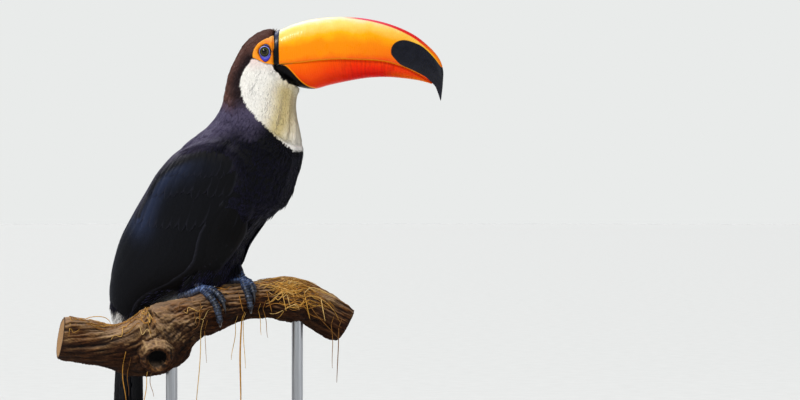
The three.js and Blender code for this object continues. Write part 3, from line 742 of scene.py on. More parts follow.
skin_mesh = wrapped_skin()
outer_points, skin_normals = mesh_arrays(skin_mesh)
nearest = np.array([look_tree.find(point)[1] for point in outer_points.tolist()])
skin_place = LOOK["place"][nearest]
skin_angle = LOOK["angle"][nearest]
coat_depth = np.interp(skin_place, *np.transpose(COAT_DEPTH))
full_breast = ease(skin_place, 7.2, 8.2) * (1 - ease(skin_place, 10.4, 11.6))
coat_depth -= 2.2 * full_breast * ease(np.abs(skin_angle), 2.0, 2.6)
skin_points = outer_points - skin_normals * (coat_depth + SWELL)[:, None]
skin_mesh.vertices.foreach_set("co", (skin_points * MM).ravel())
skin_mesh.update()
skin_u, _, skin_w = bird_sides(skin_points, through(RIBS, skin_place)[:, 5])
skin_flat = np.stack([skin_u, skin_w], -1)
print("skin:", len(skin_mesh.vertices), "points,", len(skin_mesh.polygons), "faces")


# %% Markings, lie and growth on the skin
# The seat of the bill and the bare face carry no feathers; the wings' own feathers cover the wings.
SEAT_SHADE = [
    (65.2, 414), (66.4, 405.7), (69, 401), (72.5, 398), (77.5, 395.5), (90, 391.5), (140, 391.5), (140, 414),
]
BILL_SEAT = [
    (60.5, 470), (60.5, 416), (64, 411), (69, 400.5), (77.5, 395.3), (90, 391.3), (140, 391.3), (140, 470),
]
WING_FIELD = [
    (14, 296), (36, 290), (34, 256), (18, 232), (-18, 192), (-60, 168), (-110, 168), (-124, 196),
    (-110, 242), (-88, 276), (-50, 294),
]
FEATHER_LENGTH = [  # place, length
    (0, 4.2), (1.5, 5.0), (3, 6.0), (5, 8.0), (7, 10.0), (9, 12.5), (12, 15), (14, 16), (15.5, 20), (17, 22),
]
LEG_TUFT = 0.55
DOWN_THE_LEG = (-0.25, 0.1, -1.0)
HEAD_END, BREAST_END, FRONT_END, BACK_END = 6.2, 10.6, 14.7, 15.3  # places


def region_masks(place, angle, u, w, on_leg):
    """Where each part of the coat grows, 0 or 1 for each point of the skin."""
    flat = np.stack([u, w], -1)
    bib = (edge_distance(flat, BIB) < 0.6) & (place < 10)
    bare = ((edge_distance(flat, FACE) < -0.8) & (place < 6)) | (edge_distance(flat, BILL_SEAT) < 0)
    under_wing = (edge_distance(flat, WING_FIELD) < 0) & (np.abs(angle) < 2.35) & (place > 8)
    head = (place < HEAD_END) & ~bib
    back = (place >= HEAD_END) & (np.abs(angle) < 1.5) & (place < BACK_END)
    front = (place >= HEAD_END) & ~back & (place < FRONT_END)
    free = ~bare & ~under_wing
    return {
        "grow_crown": head & free,
        "grow_bib": bib & free,
        "grow_back": back & free & ~bib,
        "grow_breast": front & free & ~bib & (place < BREAST_END) & ~on_leg,
        "grow_belly": front & free & ~bib & (place >= BREAST_END) & ~on_leg,
        "grow_thighs": on_leg & (place > 9) & ~under_wing & free,
        "grow_rump": (place >= FRONT_END) & free & ~on_leg & ~back,
        "grow_vent": (np.abs(angle) > 1.95) & (place > 12.5) & (place < 15.4) & ~under_wing,
    }


leg_shape = bmesh.new()
for name in ("leg_right", "leg_left"):
    leg_shape.from_mesh(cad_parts[name].data)
leg_tree = BVHTree.FromBMesh(leg_shape)
leg_shape.free()
from_leg = np.array([leg_tree.find_nearest((point * MM).tolist())[3] for point in outer_points]) / MM
outwards = dot(skin_points - LOOK["point"][nearest], LOOK["normal"][nearest])
on_leg = (from_leg < 1.6) & (outwards > 0.5) & (skin_place > 9)
print("legs come out of", int(on_leg.sum()), "points; furthest out:", outwards.max().round(1), "mm")
masks = region_masks(skin_place, skin_angle, skin_u, skin_w, on_leg)
masks["grow_vent"] &= skin_points[:, 0] < -3
_, skin_normals = mesh_arrays(skin_mesh)
skin_lie = np.where(on_leg[:, None], DOWN_THE_LEG, LOOK["lie"][nearest])
skin_lie = unit(skin_lie - skin_normals * dot(skin_lie, skin_normals)[:, None])
feather_length = np.interp(skin_place, *np.transpose(FEATHER_LENGTH))
feather_length = np.where(on_leg, feather_length * LEG_TUFT, feather_length)
from_bib = np.abs(edge_distance(skin_flat, BIB))
near_bib = (1 - ease(from_bib, 0.5, 8)) * (1 - ease(skin_place, 9, 10.5))
feather_length = feather_length * (1 - 0.76 * near_bib)
hanging = ease(skin_place, 11.8, 13) * (1 - ease(skin_place, 14.6, 15.4))
hanging = hanging * ease(np.abs(skin_angle), 1.5, 2.1) * ~on_leg
hanging = hanging * (1 - ease(skin_points[:, 0], -5, 3))
feather_length = feather_length * (1 + 0.5 * hanging)
under_tail = ease(skin_place, 15.2, 15.8) * ease(np.abs(skin_angle), 1.9, 2.4)
feather_length = feather_length * (1 - 0.45 * under_tail)
coat_colour = plumage(skin_place, skin_angle, skin_u, skin_w)
# painted shade: the skin is black where the bill is seated, which also carries the bill's black base onto it
in_seat_shade = (edge_distance(skin_flat, SEAT_SHADE) < 0) & (skin_place < 10)
skin_colour = np.where(in_seat_shade[:, None], BLACK, coat_colour)
chart_uv = np.stack([skin_angle / (2 * np.pi) + 0.5, 1 - skin_place / LAST_RIB, 0 * skin_place], -1)


set_attribute(skin_mesh, "coat_colour", opaque(coat_colour))
set_attribute(skin_mesh, "skin_colour", opaque(skin_colour))
set_attribute(skin_mesh, "lie", skin_lie)
set_attribute(skin_mesh, "feather_length", feather_length * MM)
set_attribute(skin_mesh, "chart", chart_uv)
for label, mask in masks.items():
    set_attribute(skin_mesh, label, mask)
    print(label, "covers", int(mask.sum()), "points of the skin")
skin_mesh.polygons.foreach_set("use_smooth", [True] * len(skin_mesh.polygons))

# %% [markdown]
# ## How a feather takes light
#
# Feathers are matt across and glossy along, with a soft bloom at a grazing angle. The shader takes
# the colour from the root, varies it a little from tuft to tuft and along fine barbs, and adds a
# sheen. Black feathers get a cool bloom, which is what makes a black bird look velvety and not like
# coal. White ones get less, or they would glow. The skin has the coat's colours too, so that no gap
# shows, but where the bill is seated it is painted black, partly as shade and partly to carry the
# bill's black base onto the skin: a pale rim there would look like a crack.

# %% Feather finishes
def feather_finish(name, sheen, tint, rough, specular, lighter, streaks, marking="coat_colour"):
    """The finish of feathers: their bloom and shine, and how much tufts and barbs differ."""
    coat = Finish(
        name, Roughness=rough, Specular_IOR_Level=specular,
        Sheen_Weight=sheen, Sheen_Roughness=0.35, Sheen_Tint=with_alpha(tint),
    )
    shade = coat.attribute("shade").stretch(0, 1, 1 - lighter, 1 + lighter)
    drawn = {0: coat.attribute("patch", "Vector"), 1: (26, 2, 1)}
    barbs = coat.noise(3, 2, at=coat.node("ShaderNodeVectorMath", drawn, operation="MULTIPLY"))
    fine = barbs.stretch(0.3, 0.7, 1 - streaks, 1 + streaks)
    toned = coat.stained(coat.attribute(marking, "Color"), coat.grey(shade))
    coat.wire("Base Color", coat.stained(toned, coat.grey(fine)))
    coat.bump(barbs, 0.05)
    return coat.material


DARK_COAT = feather_finish("dark_feathers", 0.18, (128, 126, 190), 0.55, 0.09, 0.12, 0.4)
BROWN_COAT = feather_finish("brown_feathers", 0.16, (176, 130, 120), 0.65, 0.12, 0.12, 0.25)
WHITE_COAT = feather_finish("white_feathers", 0.05, (250, 245, 235), 0.85, 0.12, 0.015, 0.03)
SKIN_FINISH = feather_finish("down_over_skin", 0.05, (140, 140, 170), 0.85, 0.1, 0.0, 0.0, "skin_colour")

# %% The skin as a piece
skin = make_piece("skin", skin_mesh, SKIN_FINISH, "black_feather")
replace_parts(skin, *FLESH)

# %% [markdown]
# ## A tuft of feather
#
# A small contour feather is made as a few pointed locks of barbs that fan out from one quill. Each
# lock is a solid of its own with three sides, so the coat is real geometry from every side. One
# tuft has only a few dozen faces, because thousands of them are laid.

# %% Tufts
def lock(angle, reach, root_x, half, arch, ridge, rows=(0.0, 0.38, 0.74)):
    """One pointed, three-sided lock, one long, that lies along +Y."""
    points = []
    for share in rows:
        swing = angle * (0.35 + 0.65 * share)
        x = root_x * (1 - share) + math.sin(swing) * share * reach
        y = math.cos(swing) * share * reach
        z = arch * math.sin(math.pi * min(share * 1.1, 1))
        wide = half * (0.55 + 0.6 * math.sin(math.pi * min(share + 0.12, 1)))
        points += [(x - wide, y, z), (x, y, z + ridge), (x + wide, y, z)]
    points.append((math.sin(angle) * reach, math.cos(angle) * reach, 0.0))
    tip = len(points) - 1
    faces = [[0, 1, 2], *grid_faces(len(rows), 3, wrap=True, flip=True)]
    faces += [[tip, tip - 2, tip - 3], [tip, tip - 1, tip - 2], [tip, tip - 3, tip - 1]]
    return points, faces


def tuft_object(name, locks, spread, half, flare, arch=0.05, ridge=0.02, seed=0):
    """A fan of locks as an object that Geometry Nodes can lay again and again."""
    rng = np.random.default_rng(seed)
    parts = []
    for turn in np.linspace(-1, 1, locks):
        reach = 1 - flare * turn**2 - rng.uniform(0, 0.09)
        swing = math.radians(spread) * (turn + rng.uniform(-0.12, 0.12))
        parts.append(lock(swing, reach, turn * half * 1.6, half, arch, ridge))
    points, faces = joined(parts)
    patch = np.stack([points[:, 0] + 0.5, points[:, 1], 0 * points[:, 0]], -1)
    mesh = plain_mesh(name, points / MM, faces, {"patch": patch})
    return bpy.data.objects.new(name, mesh)


def tuft_set(name, count, **shape):
    group = bpy.data.collections.new(name)
    for number in range(count):
        group.objects.link(tuft_object(f"{name}_{number + 1}", seed=number, **shape))
    return group


BODY_TUFTS = tuft_set("body_tufts", 4, locks=5, spread=13, half=0.05, flare=0.2, arch=0.022, ridge=0.012)
FINE_TUFTS = tuft_set("fine_tufts", 4, locks=3, spread=11, half=0.075, flare=0.14, arch=0.03, ridge=0.014)
SMOOTH_TUFTS = tuft_set("smooth_tufts", 4, locks=3, spread=10, half=0.1, flare=0.12, arch=0.008, ridge=0.005)

# %% [markdown]
# ## Laying the coat with Geometry Nodes
#
# One node tree lays every part of the coat. It scatters roots over the skin, never closer than the
# spacing, turns each tuft so that it lies along the `lie` arrow and leans off the skin a little,
# and picks its size from the skin. Each root's place on the chart becomes the tuft's patch on the
# UV map that the baked colours use. The result is made real and kept as a plain mesh.

# %% The laying tree
PATCH = 0.003


INLETS = {
    "Skin": "Geometry", "Tufts": "Collection", "Grows": "String", "Spacing": "Float", "Lean": "Float",
    "Stray": "Float", "Size": "Float", "Seed": "Int", "Finish": "Material",
}


def laying_tree():
    """Lays tufts on a skin, each turned, sized and coloured by what the skin says at its root."""
    tree = bpy.data.node_groups.new("lay_feathers", "GeometryNodeTree")
    for label, kind in INLETS.items():
        tree.interface.new_socket(name=label, in_out="INPUT", socket_type="NodeSocket" + kind)
    tree.interface.new_socket(name="Coat", in_out="OUTPUT", socket_type="NodeSocketGeometry")
    given = {socket.name: Reading(tree, socket) for socket in tree.nodes.new("NodeGroupInput").outputs}
    node = Wiring(tree).node

    def named(label, kind="FLOAT"):
        return node("GeometryNodeInputNamedAttribute", {"Name": label}, data_type=kind)

    def chance(low, high, offset):
        inputs = {2: low, 3: high, "Seed": given["Seed"] + offset}
        return node("FunctionNodeRandomValue", inputs, output=1, data_type="FLOAT")

    def arrows(operation, first, second):
        return node("ShaderNodeVectorMath", {0: first, 1: second}, operation=operation)

    def stored(geometry, label, value, **settings):
        inputs = {"Geometry": geometry, "Name": label, "Value": value}
        return node("GeometryNodeStoreNamedAttribute", inputs, **settings)

    # Roots, no closer to each other than the spacing.
    spacing = given["Spacing"]
    crowd = node("ShaderNodeMath", {0: 2.5, 1: spacing}, operation="DIVIDE").maths("DIVIDE", spacing)
    inputs = {"Mesh": given["Skin"], "Distance Min": spacing, "Density Max": crowd, "Seed": given["Seed"]}
    inputs["Density Factor"] = named(given["Grows"])
    roots = add_node(tree, "GeometryNodeDistributePointsOnFaces", inputs, distribute_method="POISSON")
    roots = roots.outputs
    shaded = stored(roots["Points"], "shade", chance(0.0, 1.0, 1), data_type="FLOAT", domain="POINT")

    # Each tuft's turn: upright on the skin, along the lie, then leant and turned a little.
    turn = node("FunctionNodeAlignRotationToVector", {"Vector": roots["Normal"]}, axis="Z")
    inputs = {"Rotation": turn, "Vector": named("lie", "FLOAT_VECTOR")}
    turn = node("FunctionNodeAlignRotationToVector", inputs, axis="Y", pivot_axis="Z")
    stray, minus_stray = given["Stray"], given["Stray"] * -1.0
    tips = {0: given["Lean"] * chance(0.6, 1.4, 2)}
    tips.update({axis: chance(minus_stray, stray, axis + 2) for axis in (1, 2)})
    tipped = node("FunctionNodeEulerToRotation", {0: node("ShaderNodeCombineXYZ", tips)})
    turn = node("FunctionNodeRotateRotation", {0: turn, 1: tipped}, rotation_space="LOCAL")

    # Its size and its shape, one of four.
    long = named("feather_length") * (given["Size"] * chance(0.85, 1.15, 5))
    inputs = {"Collection": given["Tufts"], "Separate Children": True, "Reset Children": True}
    shapes = node("GeometryNodeCollectionInfo", inputs)
    picked = node("FunctionNodeRandomValue", {4: 0, 5: 3, "Seed": given["Seed"]}, output=2, data_type="INT")
    inputs = {
        "Points": shaded, "Instance": shapes, "Pick Instance": True, "Instance Index": picked,
        "Rotation": turn, "Scale": node("ShaderNodeCombineXYZ", {0: long, 1: long, 2: long}),
    }
    real = node("GeometryNodeRealizeInstances", {"Geometry": node("GeometryNodeInstanceOnPoints", inputs)})

    # Its patch of the map, round its root's place on the chart.
    centred = arrows("SUBTRACT", named("patch", "FLOAT_VECTOR"), (0.5, 0.5, 0.0))
    patch = arrows("MULTIPLY", centred, (PATCH, PATCH, 0.0))
    where = arrows("ADD", named("chart", "FLOAT_VECTOR"), patch)
    mapped = stored(real, "OFBake", where, data_type="FLOAT2", domain="CORNER")
    finished = node("GeometryNodeSetMaterial", {"Geometry": mapped, "Material": given["Finish"]})
    tree.links.new(finished.socket, tree.nodes.new("NodeGroupOutput").inputs[0])
    return tree


LAYING = laying_tree()
SPARE_ATTRIBUTES = ["lie", "chart", "feather_length", *masks]


def lay_coat(name, **settings):
    """Runs the laying tree over the skin and keeps what it made as a piece."""
    holder = into_scene("lay", skin_mesh)
    laying = holder.modifiers.new("lay", "NODES")
    laying.node_group = LAYING
    sockets = {item.name: item.identifier for item in LAYING.interface.items_tree}
    for label, value in settings.items():
        laying[sockets[label]] = value
    mesh = evaluated(holder)
    bpy.data.objects.remove(holder)
    mesh.name = name
    for label in SPARE_ATTRIBUTES:
        if label in mesh.attributes:
            mesh.attributes.remove(mesh.attributes[label])
    return mesh


# %% The coat, part by part
COAT = [  # part, mask, tufts, spacing mm, lean, stray, size, finish, slot
    ("coat_crown", "grow_crown", FINE_TUFTS, 1.2, 0.08, 0.12, 1.1, BROWN_COAT, "brown_feather"),
    ("coat_bib", "grow_bib", SMOOTH_TUFTS, 1.25, -0.015, 0.04, 1.0, WHITE_COAT, "white_feather"),
    ("coat_back", "grow_back", BODY_TUFTS, 2.3, 0.06, 0.07, 1.05, DARK_COAT, "black_feather"),
    ("coat_breast", "grow_breast", BODY_TUFTS, 2.2, 0.09, 0.07, 1.05, DARK_COAT, "black_feather"),
    ("coat_belly", "grow_belly", BODY_TUFTS, 2.3, 0.08, 0.1, 1.0, DARK_COAT, "black_feather"),
    ("coat_thighs", "grow_thighs", FINE_TUFTS, 1.2, 0.06, 0.08, 1.2, DARK_COAT, "black_feather"),
    ("coat_vent", "grow_vent", BODY_TUFTS, 3.0, 0.15, 0.08, 1.15, DARK_COAT, "black_feather"),
    ("coat_rump", "grow_rump", BODY_TUFTS, 2.2, 0.07, 0.09, 1.0, DARK_COAT, "black_feather"),
]
labels = "Grows", "Tufts", "Spacing", "Lean", "Stray", "Size", "Finish"
for seed, (name, *settings, slot) in enumerate(COAT):
    settings[2] *= MM
    make_piece(name, lay_coat(name, Seed=seed, **dict(zip(labels, settings))), None, slot)


# %% [markdown]
# ## Bare face and eyelids
#
# Round a toucan's eye the skin is bare. An orange field runs from the feathers to the bill, and in
# it lies a blue ring of fine skin that comes to a point below, ending in the rims of the lids. It
# is one sheet here, laid as a grid that spreads from the pupil: its inner edge wraps over the
# eyeball, its outer edge slips under the feathers. Wrinkles and folds are modelled in the mesh.

# %% The face's outlines, and a way to lay points on the side of the head
EYE_AT = (51.5, 429.0)
EYE_SIDE = 19.8
EYE_RADIUS = 7.2
LID_OPENING = 4.75
EYE_RING = [
    (45.4, 428.2), (46.1, 432.2), (48.3, 435.4), (52.3, 437.0), (55.5, 435.4), (57.5, 431.8), (58.2, 427.6),
    (57.6, 423.4), (55.5, 419.8), (52.7, 418.2), (49.9, 419.8), (47.1, 423.2),
]
FACE_UNDER_COAT = 0.6
FACE_ROUND = 224
FACE_OUT = 64

skin_faces = [list(face.vertices) for face in skin_mesh.polygons]
head_tree = BVHTree.FromPolygons(outer_points.tolist(), skin_faces)


def head_surface(u, w, side):
    """How far out, at u and w, the solid head's surface lies on one side."""
    start = Vector(bird_point(u, side * 60, w, 1.0))
    way = (Vector(bird_point(u, 0, w, 1.0)) - start).normalized()
    hit = head_tree.ray_cast(start, way)
    reach = 60 - (hit[3] if hit[0] is not None else 60 - 20)
    return reach - SWELL


def radius_at(outline, turn):
    """A closed outline's distance from the pupil in each direction."""
    flat = rounded(outline) - EYE_AT
    order = np.argsort(np.arctan2(flat[:, 1], flat[:, 0]))
    angles = np.arctan2(flat[order, 1], flat[order, 0])
    reaches = np.hypot(flat[order, 0], flat[order, 1])
    return np.interp(turn, angles, reaches, period=2 * np.pi)


def face_grid():
    """The turn and, for each ring of the grid, its distance from the pupil and its zone."""
    turn = np.linspace(-np.pi, np.pi, FACE_ROUND, endpoint=False)
    ring = radius_at(EYE_RING, turn)
    edge = np.maximum(radius_at(FACE, turn) + FACE_UNDER_COAT, ring + 1.2)
    share = np.linspace(0, 1, FACE_OUT)[:, None]
    in_ring = np.clip(share / 0.42, 0, 1)
    beyond = np.clip((share - 0.42) / 0.58, 0, 1)
    radius = LID_OPENING + (ring - LID_OPENING) * in_ring + (edge - ring) * beyond
    return turn, radius, in_ring + beyond


def face_sheet(side):
    turn, radius, zone = face_grid()
    u = EYE_AT[0] + radius * np.cos(turn)
    w = EYE_AT[1] + radius * np.sin(turn)
    surface = np.array([[head_surface(a, b, side) for a, b in zip(*row)] for row in zip(u, w)])
    on_ball = EYE_SIDE + np.sqrt(np.maximum(EYE_RADIUS**2 - radius**2, 0))
    reach = on_ball + 0.35 + (surface + 0.1 - on_ball - 0.35) * ease(radius, LID_OPENING, 8.2)
    roll = 0.75 * hump(radius - LID_OPENING, 0.75, 0.55)
    puff = 0.55 * np.sin(np.pi * np.clip(zone, 0, 1)) ** 0.8
    groove = -0.5 * hump(zone, 1.0, 0.07)
    rim_fold = 0.28 * hump(zone, 1.16, 0.1)
    spots = [[(math.cos(a) * 7, math.sin(a) * 7, r * 0.25 + 9 * side) for a in turn] for r in radius.mean(1)]
    fine = np.array([[noise.noise(Vector(spot)) for spot in row] for row in spots])
    rays = np.sin(turn * 46 + 5 * fine + 2 * np.sin(zone * 9)) * ease(zone, 1.06, 1.25)
    rays = rays * (1 - 0.65 * ease(zone, 1.6, 2.0))
    ringlets = np.sin(zone * 30 + 2.5 * fine) * ease(zone, 0.1, 0.3) * (zone < 1)
    reach = reach + roll + puff + groove + rim_fold + 0.11 * rays + 0.05 * ringlets + 0.1 * fine
    under = ease(zone, 1.9, 2.0) * 0.7
    points = bird_point(u, side * (reach - under), w, 1.0)
    inner = LID_OPENING - 0.05
    inner_u, inner_w = EYE_AT[0] + inner * np.cos(turn), EYE_AT[1] + inner * np.sin(turn)
    inner_rim = bird_point(inner_u, side * (on_ball[0] - 0.9), inner_w, 1.0)
    rows = np.concatenate([inner_rim[None], points])
    marks = {
        "zone": np.repeat(np.r_[0, zone[:, 0]], FACE_ROUND),
        "high": np.concatenate([w[:1], w]).ravel(),
        "ahead": np.concatenate([u[:1], u]).ravel(),
    }
    return rows.reshape(-1, 3), grid_faces(len(rows), FACE_ROUND, wrap=True, flip=side < 0), marks


# %% The face's finish
SKY_BLUE = (96, 132, 222)
VIOLET = (58, 44, 184)
LAVENDER_HIGHLIGHT = (158, 158, 236)
LID_DARK = (16, 18, 40)
FACE_ORANGE = (248, 120, 0)
FACE_YELLOW = (254, 168, 6)
FACE_HIGHLIGHT_PALE = (250, 206, 130)

bare = Finish(
    "bare_face", Roughness=0.5, Specular_IOR_Level=0.25,
    Subsurface_Weight=0.06, Subsurface_Radius=(0.002, 0.0008, 0.0004), Subsurface_Scale=1.0,
)
zone = bare.attribute("zone")
high = bare.attribute("high")
blue_tone = bare.mix(high.stretch(421, 433), VIOLET, SKY_BLUE)
# painted highlight: a pale lavender rim on the inner part of the blue ring
blue_tone = bare.mix(zone.stretch(0.55, 0.25) * 0.6, blue_tone, LAVENDER_HIGHLIGHT)
ring_tone = bare.mix(zone.stretch(0.06, 0.16), LID_DARK, blue_tone)
ring_tone = bare.mix(zone.stretch(0.8, 0.97), ring_tone, LID_DARK)
orange_tone = bare.mix(bare.noise(420, 4).stretch(0.35, 0.75), FACE_ORANGE, FACE_YELLOW)
orange_tone = bare.mix(zone.stretch(1.55, 1.95) * 0.55, orange_tone, FACE_YELLOW)
# painted highlight: the top of the orange field, ahead of the eye, turns pale yellow
painted_highlight_top = high.stretch(438, 446) * bare.attribute("ahead").stretch(50, 60)
orange_tone = bare.mix(painted_highlight_top, orange_tone, FACE_HIGHLIGHT_PALE)
bare.wire("Base Color", bare.mix(zone.stretch(0.985, 1.03), ring_tone, orange_tone))
bare.bump(bare.noise(2600, 3), 0.08)
bare.bump(bare.noise(900, 3), 0.12)

for label, side in SIDES:
    name = f"face_{label}"
    make_piece(name, plain_mesh(name, *face_sheet(side)), bare.material, "face_skin")

# %% [markdown]
# ## Eyes
#
# An eyeball shows a black pupil in a dark olive iris, under a clear cornea that stands a little
# proud of the ball. One closed shape gives both: the outline of the ball swells where the cornea
# sits, the colours go by the distance from the middle of the pupil, and a clear coat gives the wet
# shine.

# %% Eyeballs
CORNEA_RADIUS = 5.2
CORNEA_RISE = 0.75
PUPIL_RADIUS = 2.8
EYE_ROWS = 56
EYE_TURNS = 72


def eyeball(side):
    """A ball whose pole looks out of the head, with the distance of each point from the pupil."""
    polar = np.linspace(0.002, np.pi - 0.002, EYE_ROWS)[:, None]
    turn = full_turn(EYE_TURNS)
    from_pupil = EYE_RADIUS * np.sin(polar) * np.where(polar < np.pi / 2, 1, 9)
    swell = CORNEA_RISE * np.maximum(1 - (from_pupil / CORNEA_RADIUS) ** 2, 0) ** 1.3
    out = (EYE_RADIUS + swell) * np.cos(polar) - 0.35
    across = EYE_RADIUS * np.sin(polar)
    u, w = EYE_AT[0] + across * np.cos(turn), EYE_AT[1] + across * np.sin(turn)
    points = bird_point(u, side * (EYE_SIDE + out), w, 1.0).reshape(-1, 3)
    faces = grid_faces(EYE_ROWS, EYE_TURNS, wrap=True, flip=side < 0, capped=True)
    return points, faces, {"from_pupil": np.repeat(from_pupil, EYE_TURNS)}


wet = Finish(
    "wet_eye", Roughness=0.45, Specular_IOR_Level=0.05,
    Coat_Weight=1.0, Coat_Roughness=0.01, Coat_IOR=1.35,
)
iris_tone = wet.mix(wet.noise(2200, 3), (30, 30, 8), (88, 88, 26))
from_pupil = wet.attribute("from_pupil")
tone = wet.mix(from_pupil.stretch(PUPIL_RADIUS - 0.15, PUPIL_RADIUS + 0.2), (1, 1, 2), iris_tone)
wet.wire("Base Color", wet.mix(from_pupil.stretch(4.0, 4.7), tone, (8, 8, 10)))
for label, side in SIDES:
    name = f"eyeball_{label}"
    ball = make_piece(name, plain_mesh(name, *eyeball(side)), wet.material, "eye")
    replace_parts(ball, f"eye_{label}")

# %% [markdown]
# ## The bill
#
# The bill is horn over a light core, in two halves that meet at the gape. Each half is a loft of
# sections that are flat at the gape and domed away from it, so its stations are the top and bottom
# of the bill's middle plane and a half width, as on the solids. The mesh adds what the solids leave
# out: the keel along the ridge, the thick rim at the base, growth rings, and the worn saw edge.

# %% The bill's stations and its mesh
BILL_UPPER = [  # top u, w; bottom u, w; half width
    (60, 450.5, 60.5, 415.5, 21.7),
    (77.5, 458, 79.5, 417.5, 21.5),
    (98.5, 463.5, 99.5, 420, 21),
    (125.5, 466, 125.5, 422, 19.5),
    (154, 464, 151.5, 421.5, 17.5),
    (180, 458, 173.5, 420, 15),
    (203, 448, 192.5, 415, 12.5),
    (219.5, 435.5, 207, 408.5, 10),
    (230.5, 423, 218.5, 401.5, 7.5),
    (235, 410.5, 225.8, 396, 5),
    (234.8, 397, 229, 390, 2.8),
    (233.3, 380.5, 232.5, 379.5, 0.8),
]
BILL_LOWER = [
    (61.7, 414.9, 62.9, 409.2, 20.5),
    (66.3, 415.3, 67.7, 401.9, 20.8),
    (73, 416, 76, 396.5, 20.8),
    (83, 416.8, 88.5, 392.6, 20.5),
    (96, 418.8, 101.5, 391.5, 19.5),
    (112, 420.3, 117, 395.5, 18.5),
    (133, 421.2, 136, 399.5, 16.5),
    (157, 420.5, 157, 402.8, 14.5),
    (178, 418.2, 177, 403.5, 12),
    (195.5, 413, 193.5, 402.2, 9.5),
    (208.5, 406.8, 208, 400.2, 6.8),
    (218, 400.8, 218, 397.8, 3.8),
    (223.5, 396.8, 223.5, 396, 1),
]
BILL_ROWS = 300
BILL_ROUND = 84
BILL_UNDER = 24
TIP_PATCH = [
    (181.9, 429.3), (183, 434.6), (186.8, 438.9), (192.1, 441), (198.2, 441), (206.6, 438.3), (214.2, 434.5),
    (221.8, 427.7), (227.9, 420.8), (232.5, 414.5), (240, 406), (240, 374), (226, 374), (227, 387),
    (225.6, 394.6), (222.2, 398.6), (217.1, 403.4), (208.8, 408), (200.4, 411.9), (192, 415.7), (186.6, 421),
    (182.8, 425.6),
]
CHEEK_PATCH = [
    (58, 414.6), (66, 415.8), (70.6, 415), (74, 413.2), (79.3, 407.9), (83.9, 402.6), (90, 396.5),
    (96.5, 392.6), (103.5, 390.4), (96, 386), (58, 386),
]
BASE_BAND = 5.6
GAPE_CLOSING = 0.85


def bill_half(stations, up):
    """Points of one half, with what the finish needs to know about each."""
    place = np.linspace(0, len(stations) - 1, BILL_ROWS)
    row = through(stations, place)
    top, bottom, half = row[:, 0:2], row[:, 2:4], row[:, 4]
    foot, ridge = (bottom, top) if up else (top, bottom)
    foot = foot + (0.0, GAPE_CLOSING if not up else -GAPE_CLOSING) * ease(foot[:, :1], 66, 92)
    rise = ridge - foot
    height = np.linalg.norm(rise, axis=1)
    rise = rise / height[:, None]
    run = np.cumsum(np.r_[0, np.linalg.norm(np.diff((top + bottom) / 2, axis=0), axis=1)])
    dome = np.linspace(0, np.pi, BILL_ROUND)
    out = np.sign(np.cos(dome)) * np.abs(np.cos(dome)) ** 0.85 * (1 - 0.07 * np.cos(dome) ** 6)
    lift = np.abs(np.sin(dome)) ** 0.92
    across = half[:, None] * out
    risen = height[:, None] * lift
    keel = hump(dome, np.pi / 2, 0.11) if up else 0 * dome
    risen = risen + 0.35 * keel * ease(run, 14, 40)[:, None] * ease(height, 2, 8)[:, None]
    rim = ease(BASE_BAND - run, 0, 0.9)[:, None] * (0.75 if up else 0.0)
    growth = 0.045 * np.sin(run * 2.1 + 1.5 * np.sin(run * 0.31))[:, None]
    scale = 1 + (rim + growth) / np.maximum(height[:, None], 3)
    from_gape = lift * height[:, None]
    inset = 0.28 * hump(from_gape, 0, 1.6) * ease(height, 1, 6)[:, None]
    across = across * scale - np.sign(out) * inset
    teeth = 0.2 * (np.abs((run / 6.3) % 1 - 0.5) * 2) ** 2
    teeth = teeth * ease(run, 50, 80) * (1 - ease(run, 168, 184))
    risen = risen * scale + teeth[:, None] * hump(from_gape, 0, 1.1)
    flat_share = np.linspace(-1, 1, BILL_UNDER + 2)[1:-1]
    under_across = across[:, -1:] * -flat_share
    under_risen = 0.12 + risen[:, :1] + 0 * under_across
    all_across = np.hstack([across, under_across])
    all_risen = np.hstack([risen, under_risen])
    u = foot[:, :1] + rise[:, :1] * all_risen
    w = foot[:, 1:] + rise[:, 1:] * all_risen
    columns = BILL_ROUND + BILL_UNDER
    share_up = all_risen / height[:, None]
    flat = np.stack([u, w], -1).reshape(-1, 2)
    marks = {
        "run": np.repeat(run, columns),
        "along": np.repeat(run / run[-1], columns),
        "up": share_up.ravel(),
        "rise": all_risen.ravel(),
        "below_top": ((1 - share_up) * height[:, None]).ravel(),
        "to_tip_patch": edge_distance(flat, rounded(TIP_PATCH)),
        "to_cheek_patch": edge_distance(flat, rounded(CHEEK_PATCH)),
    }
    points = bird_point(u, all_across, w, 1.0).reshape(-1, 3)
    return points, grid_faces(BILL_ROWS, columns, wrap=True, flip=not up, capped=True), marks


# %% Horn finishes
HORN_PALE = (255, 226, 120)
HORN_YELLOW = (252, 184, 4)
HORN_AMBER = (252, 146, 0)
HORN_ORANGE = (250, 98, 0)
HORN_SCARLET = (232, 44, 0)
HORN_BLACK = (8, 8, 11)
BAND_SHEEN_SLATE = (60, 64, 92)


def horn(name, coat, specular):
    return Finish(
        name, Roughness=0.34, Coat_Weight=coat, Coat_Roughness=0.14, Specular_IOR_Level=specular,
        Subsurface_Weight=0.08, Subsurface_Radius=(0.004, 0.0016, 0.0004), Subsurface_Scale=1.0,
    )


def horn_surface(made):
    """Fine growth lines across the bill, faint scratches along it and a soft mottle."""
    wander = made.noise(70, 3)
    lines = (made.attribute("run") * 3.2 + wander * 26).waves()
    made.bump(lines, 0.05)
    made.bump(made.noise(9, 4, drawn=(30, 30, 260)), 0.1)
    made.wire("Roughness", made.noise(160, 4).stretch(0.3, 0.7, 0.24, 0.4))
    return lines, wander


